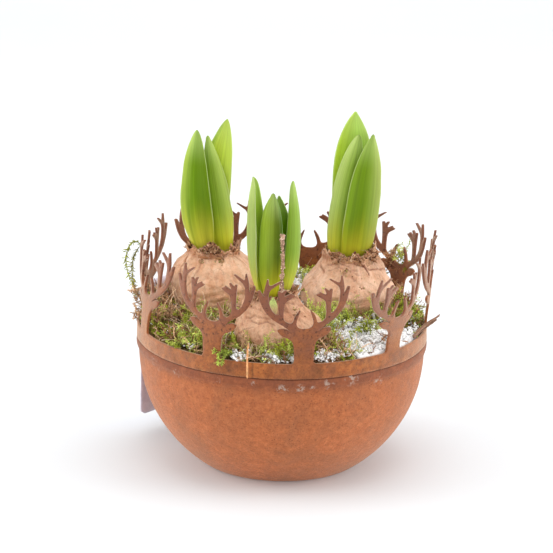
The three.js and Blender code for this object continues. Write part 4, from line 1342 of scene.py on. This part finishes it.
# Patch: from, to, inner radius, rise, edge, base colour, snow grains, and strands of each style
PATCHES = {
    "moss_front": (-31, 13, 62, -1, -0.5, "#5a4328", 420, [
        (GREEN, 70), (LIME, 34), (STRAW, 60), (BROWN, 60), (DARK, 36), (HAY, 32)]),
    "snow_front_left": (-46, -32, 34, -1, -1, "#5f4a2c", 160, [
        (GREEN, 44), (LIME, 40), (STRAW, 26), (BROWN, 24), (HAY, 8)]),
    "moss_front_left": (-92, -47, 18, 0, 0, "#6a5428", 200, [
        (GREEN, 170), (LIME, 110), (STRAW, 270), (BROWN, 160), (DARK, 30), (HAY, 90)]),
    "straw_moss_left": (-110, -93, 70, 1, 1, "#6e5034", 60, [
        (GREEN, 20), (STRAW, 110), (BROWN, 70), (HAY, 16)]),
    "moss_back_left": (-178, -147, 20, 3, 3, "#5a4a24", 120, [
        (GREEN, 80), (LIME, 44), (STRAW, 60), (BROWN, 40), (DARK, 24)]),
    "snow_back": (-212, -179, 20, 3, 3, "#7d6b58", 1100, [
        (GREEN, 44), (LIME, 30), (STRAW, 40), (BROWN, 30)]),
    "straw_moss_back_right": (101, 147, 78, 2, 2, "#6e5034", 160, [
        (GREEN, 30), (STRAW, 80), (BROWN, 80), (LIME, 20)]),
    "moss_right": (76, 100, 20, 0.5, 0.5, "#6b5636", 620, [
        (GREEN, 56), (LIME, 60), (STRAW, 60), (BROWN, 70), (DARK, 24)]),
    "snow_front_right": (31, 75, 18, 0, 0, "#6f5d4a", 2600, [
        (GREEN, 12), (LIME, 14), (STRAW, 40), (BROWN, 60), (HAY, 8)]),
    "straw_moss_front": (14, 30, 34, 0, 0, "#6a4e30", 420, [
        (GREEN, 26), (LIME, 20), (STRAW, 90), (BROWN, 110), (DARK, 14), (HAY, 14)]),
}

# Sprigs grown beyond the cushions: patch, root, aim, spread, number, length, style
SPRIGS = [
    ("snow_front_right", (22, -22, 96), (-0.1, 0, 1), 2.6, 16, 24, LIME),
    ("snow_front_right", (27, -14, 96), (-0.1, 0, 1), 3, 12, 19, LIME),
    ("snow_front_right", (31, -30, 96), (-0.1, 0.1, 1), 3, 12, 16, LIME),
    ("snow_front_right", (19, -33, 96), (0, 0, 1), 2, 9, 18, LIME),
    ("straw_moss_front", (17, -42, 96), (0, 0, 1), 3, 10, 15, LIME),
    ("straw_moss_front", (16, -56, 96), (0, 0, 1), 3, 8, 12, STRAW),
    ("straw_moss_front", (23, -50, 97), (0, 0, 0.6), 6, 40, 11, BROWN),
    ("snow_front_right", (45, -24, 96), (-0.1, 0.05, 1), 1.2, 4, 17, DARK),
    ("snow_front_right", (53, -31, 96), (0.05, 0.1, 1), 2.2, 7, 14, GREEN),
    ("snow_front_right", (58, -27, 96), (0.2, 0.1, 0.6), 3, 10, 12, LIME),
    ("snow_front_right", (40, -8, 96), (0, -0.1, 1), 2, 7, 13, LIME),
    ("snow_back", (12, 82, 97), (0, 0, 1), 5, 26, 11, LIME),
    ("snow_back", (18, 79, 97), (0, 0, 1), 5, 22, 10, GREEN),
    ("moss_right", (80, 9, 97), (0, 0, 1), 6, 40, 13, BROWN),
    ("moss_right", (79, 2, 97), (0, 0, 1), 6, 34, 12, GREEN),
    ("moss_right", (84, -6, 96), (0, 0, 1), 4, 20, 11, LIME),
    ("straw_moss_left", (-86, 22, 99), (0, 0, 1), 7, 70, 14, STRAW),
    ("straw_moss_left", (-86, 12, 99), (0, 0, 1), 7, 40, 11, BROWN),
    ("moss_front_left", (-82, -12, 96), (0, 0, 1), 6, 50, 12, STRAW),
    ("moss_front_left", (-60, -58, 95), (0, -0.2, 0.9), 6, 40, 10, LIME),
    ("moss_front", (-20, -84, 94), (0, 0.1, 0.9), 3, 10, 13, HAY),
    ("moss_front", (6, -78, 94), (-0.2, 0.3, 1), 4, 16, 15, GREEN),
    ("moss_front", (-12, -78, 94), (0.5, 0.3, 0.8), 2, 5, 20, LIME),
]

# Small heaps of snow grains on the growth: patch, middle, spread and number
HEAPED_SNOW = [
    ("snow_front_right", (25, -26, 98), 6, 330), ("snow_front_right", (33, -20, 98), 6, 200),
    ("moss_front", (-27, -84, 95.5), 5, 170), ("moss_front", (-5, -86, 95), 6, 200),
    ("moss_front", (5, -85, 95), 4, 70), ("straw_moss_front", (26, -83, 96), 6, 190),
    ("moss_right", (82, -4, 98), 6, 170), ("snow_back", (16, 80, 101), 5, 90),
    ("straw_moss_left", (-84, 20, 101), 5, 50),
]

# Growth that clings to the steel: patch, middle, aim, spread, number, length, style
CLINGING = [
    ("straw_moss_back_right", (71.5, 53, 117), (0, -0.2, 0.3), 3, 16, 8, BROWN),
    ("straw_moss_back_right", (73.5, 53.4, 124), (0, -0.3, 0.6), 2.4, 14, 8, STRAW),
    ("straw_moss_back_right", (78, 53.4, 122), (-0.2, -0.2, 1), 1.2, 8, 13, LIME),
    ("straw_moss_back_right", (82, 52.6, 118), (0.3, -0.3, 0.2), 1.4, 8, 7, GREEN),
    ("straw_moss_left", (-95.5, 4, 108), (-0.5, 0, 0.2), 3, 20, 6, STRAW),
    ("straw_moss_left", (-95.5, 8, 96), (-0.5, 0, -0.3), 2, 10, 6, STRAW),
]

# Long shoots with a fixed course: patch, stem radius, leaf length, old and young colour, course
SHOOTS = [
    ("straw_moss_left", 0.55, 3.6, "#8c9030", "#c0c458", [
        (-92.5, 14, 136), (-95, 13, 141), (-99, 13, 141), (-102.6, 14, 135), (-103.4, 14, 127),
        (-102, 14, 119), (-99, 14, 112), (-96.6, 12, 104)]),
    ("straw_moss_left", 0.5, 3.0, "#948c40", "#c8c268", [
        (-95, 12, 138), (-98, 12, 132), (-99.5, 12, 124), (-98.5, 12, 115), (-96.5, 10, 108)]),
    ("moss_front", 0.4, 2.6, "#8c9a30", "#c3d45e", [
        (-34, -80, 94.5), (-37, -84, 98), (-39.4, -88, 97.4), (-40.2, -89.6, 92)]),
    ("moss_front", 0.4, 2.6, "#8c9a30", "#c3d45e", [
        (-31, -82, 94.5), (-33.5, -86.5, 99), (-36.5, -90, 96), (-37.6, -90.6, 91.5)]),
    ("moss_front", 0.36, 2.4, "#93a238", "#b6c850", [
        (-36, -79, 94.5), (-39.6, -83, 100), (-42.6, -86.6, 98.6)]),
    ("snow_back", 0.34, 0, "#a8826a", "#c8a28a", [(13, 78, 98), (15.5, 79, 107), (19.5, 80, 114)]),
]


def rows_of(table, patch):
    return [row[1:] for row in table if row[0] == patch]


def extra_growth(build, name, rng):
    """What the tables above add to a patch: sprigs, clinging growth, snow and shoots."""
    for root, aim, spread, count, length, style in rows_of(SPRIGS, name):
        roots = np.array(root) + rng.normal(size=(count, 3)) * [spread, spread, 0.8] * 0.7
        aims = np.array(aim) + 0.35 * rng.normal(size=(count, 3))
        lengths = length * rng.uniform(0.6, 1.1, count)
        strands(build, rng, roots, aims, lengths, style, RIM["bottom"])
    for root, aim, spread, count, length, style in rows_of(CLINGING, name):
        roots = np.array(root) + rng.normal(size=(count, 3)) * [spread, 0.3, spread] * 0.6
        aims = np.array(aim) + 0.5 * rng.normal(size=(count, 3))
        lengths = length * rng.uniform(0.5, 1.1, count)
        strands(build, rng, roots, aims, lengths, style, clear=False)
    for middle, spread, count in rows_of(HEAPED_SNOW, name):
        spots = np.array(middle) + rng.normal(size=(count, 3)) * [spread, spread, 2.4] * 0.6
        spots = keep_clear(spots, RIM["top"])
        grains(build, rng, spots, rng.uniform(0.4, 1.2, count), SNOW_TINT, ICE)
    for radius, leaf, old, young, course in rows_of(SHOOTS, name):
        dress(build, rng, spline(course, 26)[None], radius, leaf, 4 if leaf else 0, old, young)


def random_spots(rng, patch, count, margin=1.0):
    """Points on a cushion, clear of the bulbs and evenly spread over its area."""
    start, end, inner = PATCHES[patch][:3]
    found = []
    while len(found) < count:
        azimuth = rng.uniform(start, end)
        radius = math.sqrt(rng.uniform(inner ** 2, (CUSHION_EDGE - margin) ** 2))
        spot = on_circle(azimuth, radius, 0)
        if any(
            math.dist(spot[:2], bulb["centre"][:2]) < bulb["radius"] + 0.5
            for bulb in BULBS.values()
        ):
            continue
        spot[2] = surface_height(patch, spot)
        found.append(spot)
    return np.array(found).reshape(-1, 3)


def surface_height(patch, spots):
    """How high a cushion's lumpy top is. It stays low beside the strip."""
    rise, edge = PATCHES[patch][3:5]
    spots = np.asarray(spots, float)
    x, y = spots[..., 0], spots[..., 1]
    top = RIM["top"] + rise + lump(x, y)
    flat = np.stack([x, y, 0 * x], -1)
    top = top + 0.9 * noise(flat, 7, 40, 3)
    near = np.hypot(x, y) > RIM["radius"] - 8
    return np.where(near, np.minimum(top, RIM["top"] + edge), top)


def moss_patch(name, seed):
    """One patch: a lumpy cushion, the snow drifted on it, its strands and loose grains."""
    start, end, inner, _, _, ground, snow, mixture = PATCHES[name]
    snowy = snow > SNOWY_FROM
    rng = np.random.default_rng(seed)
    build = Build()
    rows = max(8, round((CUSHION_EDGE - inner) / CUSHION_STEP))
    cols = max(8, round(math.radians(end - start) * 80 / CUSHION_STEP))
    radius = np.linspace(inner, CUSHION_EDGE, rows)[:, None]
    azimuth = np.linspace(start, end, cols)[None, :]
    top = on_circle(azimuth, radius, 0)
    top[..., 2] = surface_height(name, top)
    top[..., 2] += 0.7 * noise(top, 2.4, seed, 2)
    low = on_circle(azimuth, radius, SOIL_TOP + 0.3)
    points, faces = slab(top[:, ::-1], low[:, ::-1])
    tone = linear(ground) * (1 + 0.5 * noise(points, 5, seed, 3))[:, None]
    if snowy:
        level = points * [1, 1, 0]
        reach = np.hypot(points[:, 0], points[:, 1])
        depth = noise(level, 9, seed + 7, 2) + 0.3 * noise(points, 2.5, seed + 8, 2)
        swing = np.abs(wrapped(azimuth_of(points) - (start + end) / 2))
        border = ((end - start) / 2 - swing) * math.pi / 180 * reach
        border = np.minimum(border, reach - inner) + 3.5 * noise(level, 5, seed + 9, 3)
        drift = smoothstep(depth, -0.65, -0.45) * smoothstep(border, 1.5, 4)
        points[:rows * cols, 2] += 1.6 * drift[:rows * cols]
        tone = tone + (1.0 - tone) * drift[:, None]
    build.add(points, faces, np.clip(tone, 0, 1), ICE if snowy else GROUND)
    for order, (style, count) in enumerate(mixture):
        roots = random_spots(rng, name, 3 * count)
        tuft = noise(roots * [1, 1, 0], 10, seed + 20 + order, 2)
        tuft = tuft + 0.2 * rng.normal(size=3 * count)
        roots = roots[np.argsort(-tuft)[:count]]
        if snowy:
            bare = noise(roots * [1, 1, 0], 9, seed + 7, 2) < -0.35
            roots = roots[bare | (rng.uniform(size=count) < 0.25)]
            count = len(roots)
        aims = rng.normal(size=(count, 3)) * [1, 1, 0.3] + [0, 0, 0.45]
        lengths = rng.uniform(8, 20, count)
        if style is HAY:
            lengths = rng.uniform(14, 26, count)
            aims = aims * [1, 1, 0.4] + [0, 0, 0.2]
        strands(build, rng, roots, aims, lengths, style, RIM["bottom"])
    extra_growth(build, name, rng)
    spots = random_spots(rng, name, snow)
    piles = noise(spots * [1, 1, 0], 9, seed + 7, 2)
    spots = spots[piles > (-0.6 if snowy else 0.1)]
    spots[:, 2] += rng.uniform(0, 1.8, len(spots)) + 1.4
    grains(build, rng, spots, rng.uniform(0.45, 1.3, len(spots)), SNOW_TINT, ICE)
    slot = {"moss": "moss", "snow": "snow", "stra": "straw_moss"}[name[:4]]
    build.piece(f"grown_{name}", [MOSS, EARTH, SNOW], slot, [name])


def soil_bed():
    """The soil that fills the bowl, with loose crumbs on top."""
    rng = np.random.default_rng(77)
    cols, count = 110, 1500
    radius = np.linspace(0, CUSHION_EDGE, 44)[:, None]
    azimuth = whole_turn(cols)
    top = on_circle(azimuth, radius, SOIL_TOP)
    top[..., 2] += (0.9 * noise(top, 7, 60, 3) + 0.4) * np.minimum(radius / 20, 1)
    wall = bowl_arc(BOWL["wall"] + 0.3, BOWL["wall"] + 0.3, 14)[::-1]
    wall = wall[wall[:, 1] < SOIL_TOP - 4]
    sides = on_circle(azimuth, wall[:, :1], wall[:, 1:])
    last = on_circle(azimuth, np.zeros((1, 1)), BOWL["wall"] + 0.3)
    points = np.concatenate([top, sides, last])
    build = Build()
    build.add(points, grid(len(points), cols, closed=True)[:, ::-1], linear("#3a2a1e"))
    spots = on_circle(
        rng.uniform(0, 360, count), 90 * np.sqrt(rng.uniform(0, 1, count)), SOIL_TOP + 0.8
    )
    spots[:, 2] += rng.uniform(-0.3, 0.8, count)
    tones = palette("#3a281a", "#55402c", "#6d4f34", "#2c2017")
    grains(build, rng, spots, rng.uniform(0.6, 1.8, count), tones[rng.integers(0, 4, count)], 0)
    weld(build.piece("soil_bed", [EARTH], "soil", ["potting_soil"]), 0.0005)


# ---------------------------------------------------------------- stalk, straw, bark, label


def dry_stalk():
    rng = np.random.default_rng(5)
    rows, cols = 130, 14
    knots = [(-0.6 + 0.25 * math.sin(i), -64 + 0.25 * i, 117.2 + 4.3 * i) for i in range(13)]
    path = spline(knots, rows)
    radius = 0.85 + 0.4 * noise(path, 2.4, 3, 2) + 0.12 * np.sin(path[:, 2] * 0.9)
    radius = radius + 0.5 * smoothstep(path[:, 2], 163.5, 166.5)
    points, faces, *_ = tubes(path[None], radius[None], cols)
    spots = points.reshape(-1, 3)
    centre = np.repeat(path, cols, 0)
    spots = spots + unit(spots - centre) * 0.4 * noise(spots, 1.3, 4, 2)[:, None]
    build = Build()
    tone = linear("#b08e74") * (1 + 0.4 * noise(spots, 1.4, 6, 2))[:, None]
    build.add(spots, faces, tone)
    count = 420
    at = rng.integers(0, rows, count)
    turn = rng.uniform(0, TAU, count)
    aim = np.stack([np.cos(turn), np.sin(turn), rng.uniform(-0.3, 0.3, count)], 1)
    seeds = path[at] + aim * (radius[at] + 0.15)[:, None]
    tones = palette("#cda78e", "#a98069", "#84614e", "#e3c3ac")
    grains(build, rng, seeds, rng.uniform(0.25, 0.62, count), tones[rng.integers(0, 4, count)], 0)
    build.piece("knobbly_stalk", [DRY], "dry_stem", ["dry_stalk"])


def ribbon(build, points, across, width, thickness, rows, tone, seed, ragged=0.0):
    """A flat run along a path, thin at its edges, narrowed at its ends and with a ragged outline
    when asked.
    """
    path = spline(points, rows)
    cols = 7
    along = unit(np.gradient(path, axis=0))
    across = unit(np.array(across, float))
    up = unit(np.cross(across, along))
    u = np.linspace(-1, 1, cols)[None, :]
    t = np.linspace(0, 1, rows)[:, None]
    half = width / 2 * (0.35 + 0.65 * np.clip(np.minimum(t, 1 - t) * 8, 0, 1) ** 0.6)
    half = half * (1 + ragged * noise(path, 3, seed, 2))[:, None]
    crown = thickness / 2 * (0.3 + 0.7 * np.sqrt(1 - u ** 2)) * (1 + 0 * t)
    crown = crown + 0.3 * ragged * noise(stacked(u * 3, t * 9, 1.0 * seed), 1, seed, 2)
    spots = path[:, None] + across * (half * u)[..., None]
    proud = up[:, None] * crown[..., None]
    points, faces = slab(spots + proud, spots - 0.6 * proud)
    build.add(points, faces, linear(tone) * (1 + 0.35 * noise(points, 2.2, seed, 2))[:, None])


def straw_blade():
    build = Build()
    ribbon(build, [
        (-21.2, -80, 102.5), (-21.4, -88, 99.5), (-21.6, -93.4, 95.6), (-21.5, -95.9, 91),
        (-21.4, -96.1, 84.6),
    ], (1, 0, 0), 1.25, 0.6, 40, "#dda06c", 3, 0.1)
    build.piece("straw_over_rim", [DRY], "straw", ["straw_blade"])


def bark_splinter():
    build = Build()
    course = [(84.5, -38, 94.8), (88.5, -29.5, 96.3), (93.5, -22.5, 98.3), (100, -17, 101)]
    ribbon(build, course, (0.5, -0.8, 0.2), 4, 1.6, 46, "#7a5a48", 8, 0.3)
    for shift, reach, seed in ((1.1, 1.5, 11), (-1.2, -1.0, 12), (0.2, 2.2, 13)):
        fibre = [
            (x + 0.5 * shift, y - 0.8 * shift, z + 0.9 + 0.2 * i)
            for i, (x, y, z) in enumerate(course)
        ]
        fibre[-1] = tuple(np.array(fibre[-1]) + [reach, reach * 0.6, reach * 0.8])
        ribbon(build, fibre, (0.5, -0.8, 0.2), 0.9, 0.7, 34, "#94705a", seed, 0.3)
    build.piece("bark_on_rim", [DRY], "bark", ["bark_splinter"])


def plant_label():
    azimuth, width, thickness = -127.8, 55, 0.8
    outside, inside, bottom, crest = 99, 88.1, 13, 102
    end = RIM["bottom"] + 0.6
    bend, middle = (outside - inside) / 2, (outside + inside) / 2
    down = np.linspace(bottom, crest, 40)[:-1]
    turn = np.linspace(0, math.pi, 16)
    back = np.linspace(crest, end, 14)[1:]
    course = np.concatenate([
        np.stack([np.full(39, outside), down], 1),
        np.stack([middle + bend * np.cos(turn), crest + bend * np.sin(turn)], 1),
        np.stack([np.full(13, inside), back], 1),
    ])
    steps = np.linalg.norm(np.diff(course, axis=0), axis=1)
    run = np.concatenate([[0], np.cumsum(steps)])
    slope = unit(np.gradient(course, axis=0))
    normal = np.stack([slope[:, 1], -slope[:, 0]], 1)
    corner = 4.0
    near = np.minimum(run, run[-1] - run)
    trim = corner - np.sqrt(np.maximum(corner ** 2 - np.maximum(corner - near, 0) ** 2, 0))
    u = np.linspace(-1, 1, 27)[None, :]
    across = u * (width / 2 - trim)[:, None]
    outward = on_circle(azimuth, 1, 0)
    along = np.cross(outward, [0, 0, 1.0])
    faces = []
    for depth in (0, thickness):
        spot = course - normal * depth
        bow = 0.5 * noise(stacked(u * 2, run[:, None] / 40, 0), 1, 3)
        bow = bow * smoothstep(run, 100, 40)[:, None]
        faces.append(
            outward * (spot[:, :1] - np.abs(bow) * 0.6)[..., None] + along * across[..., None]
            + np.array([0, 0, 1]) * (spot[:, 1:] + 0 * u)[..., None]
        )
    points, quads = slab(faces[0][:, ::-1], faces[1][:, ::-1])
    build = Build()
    build.add(points, quads)
    build.piece("bent_label", [LABEL], "label_card", ["plant_label"])


# ---------------------------------------------------------------- camera, light and floor


def camera():
    """From the front at 17.15 degrees above the horizon, turned one degree."""
    elevation = math.radians(17.15)
    distance = 2.0
    aside, above = -4.4 * MM, 28.2 * MM  # where the view is aimed, from the rim's middle
    ring = Vector((0, 0, RIM["top"] * MM))
    lens = bpy.data.cameras.new("photo_camera")
    lens.lens = 198.55
    lens.sensor_width = 36
    lens.clip_start, lens.clip_end = 0.05, 30
    made = bpy.data.objects.new("photo_camera", lens)
    back = Vector((0, -math.cos(elevation), math.sin(elevation)))
    made.location = ring + back * distance
    up = Vector((0, math.sin(elevation), math.cos(elevation)))
    aim = ring + Vector((aside, 0, 0)) + above * up
    toward = (aim - made.location).normalized()
    turn = toward.to_track_quat("-Z", "Y") @ Quaternion((0, 0, 1), math.radians(1.0))
    made.rotation_mode = "QUATERNION"
    made.rotation_quaternion = turn
    bpy.context.scene.collection.objects.link(made)
    bpy.context.scene.camera = made


def area_light(name, place, target, size, power):
    data = bpy.data.lights.new(name, "AREA")
    data.shape = "RECTANGLE"
    data.size, data.size_y = size
    data.energy = power
    made = bpy.data.objects.new(name, data)
    made.location = place
    aim = Vector(target) - Vector(place)
    made.rotation_euler = aim.to_track_quat("-Z", "Y").to_euler()
    bpy.context.scene.collection.objects.link(made)


# Soft boxes: name, place, target and size in metres, power in watts
SOFT_BOXES = [
    ("left_box", (-1.3, -0.1, 0.5), (0, 0, 0.12), (1.0, 1.2), 13),
    ("right_box", (1.3, -0.1, 0.5), (0, 0, 0.12), (1.0, 1.2), 12.5),
    ("top_box", (0.1, -0.2, 1.7), (0, 0, 0.1), (1.2, 1.2), 9),
    ("front_box", (0, -1.15, 0.12), (0, 0, 0.07), (1.4, 0.24), 4),
    ("back_box", (0, 0.9, 1.7), (0, 2.1, 0.5), (2.6, 0.6), 15),
]

# The paper's half width, its front edge, where it starts to bend up, the bend and its top edge
PAPER = {"half": 4.0, "front": -3.0, "bend_from": 1.4, "bend": 0.8, "top": 3.5}


def studio():
    """Soft boxes, a sky that is brighter behind, and pale paper that curves up at the back."""
    scene = bpy.context.scene
    view = scene.view_settings
    view.view_transform, view.look, view.exposure, view.gamma = "Standard", "None", 0, 1
    world = bpy.data.worlds.new("studio_world")
    world.use_nodes = True
    tree = world.node_tree
    sky = tree.nodes["Background"]
    sky.inputs["Color"].default_value = (0.97, 0.97, 0.97, 1)
    aim = tree.nodes.new("ShaderNodeTexCoord")
    parts = tree.nodes.new("ShaderNodeSeparateXYZ")
    glow = tree.nodes.new("ShaderNodeMapRange")
    limits = {"From Min": -0.9, "From Max": 0.1, "To Min": 0.55, "To Max": 1.05}
    for key, value in limits.items():
        glow.inputs[key].default_value = value
    tree.links.new(aim.outputs["Generated"], parts.inputs["Vector"])
    tree.links.new(parts.outputs["Y"], glow.inputs["Value"])
    tree.links.new(glow.outputs["Result"], sky.inputs["Strength"])
    scene.world = world
    for box in SOFT_BOXES:
        area_light(*box)

    bend, bend_from = PAPER["bend"], PAPER["bend_from"]
    flat = np.linspace(PAPER["front"], bend_from, 30)
    turn = np.linspace(0, math.pi / 2, 24)[1:]
    ys = np.concatenate([flat, bend_from + bend * np.sin(turn), np.full(7, bend_from + bend)])
    zs = np.concatenate([0 * flat, bend - bend * np.cos(turn), np.linspace(1, PAPER["top"], 7)])
    points = stacked(np.array([-PAPER["half"], PAPER["half"]]), ys[:, None], zs[:, None])
    paint = Paint(
        "studio_paper", 0.9, 0.1, Emission_Color=(1.0, 0.97, 0.97, 1), Emission_Strength=0.07
    )
    paint.set("Base Color", paint.ramp(paint.noise(400), (0.3, "#d6d9db"), (0.7, "#d9dcde")))
    mesh = bpy.data.meshes.new("studio_floor")
    mesh.from_pydata(points.reshape(-1, 3).tolist(), [], grid(len(ys), 2).tolist())
    mesh.shade_smooth()
    mesh.materials.append(paint.material)
    floor = bpy.data.objects.new("studio_floor", mesh)
    scene.collection.objects.link(floor)


# ---------------------------------------------------------------- the whole

camera()
studio()
steel_bowl()
deer_band()
soil_bed()
for number, key in enumerate(BULBS):
    tunic, skin = bulb_tunic(key, 100 * (number + 1))
    draw = np.random.default_rng(30 + number)
    neck_remains(key, tunic, draw)
    bulb_crumbs(key, tunic, skin, draw)
    if key == "front":
        shoot_tip(tunic)
    tunic.piece(f"tunic_{key}", [TUNICS[key], DRY], "bulb_tunic", [f"bulb_{key}"])
for number, leaf in enumerate(LEAVES):
    leaf_blade(leaf, number + 1)
for number, patch in enumerate(PATCHES):
    moss_patch(patch, 200 + number)
dry_stalk()
straw_blade()
bark_splinter()
plant_label()
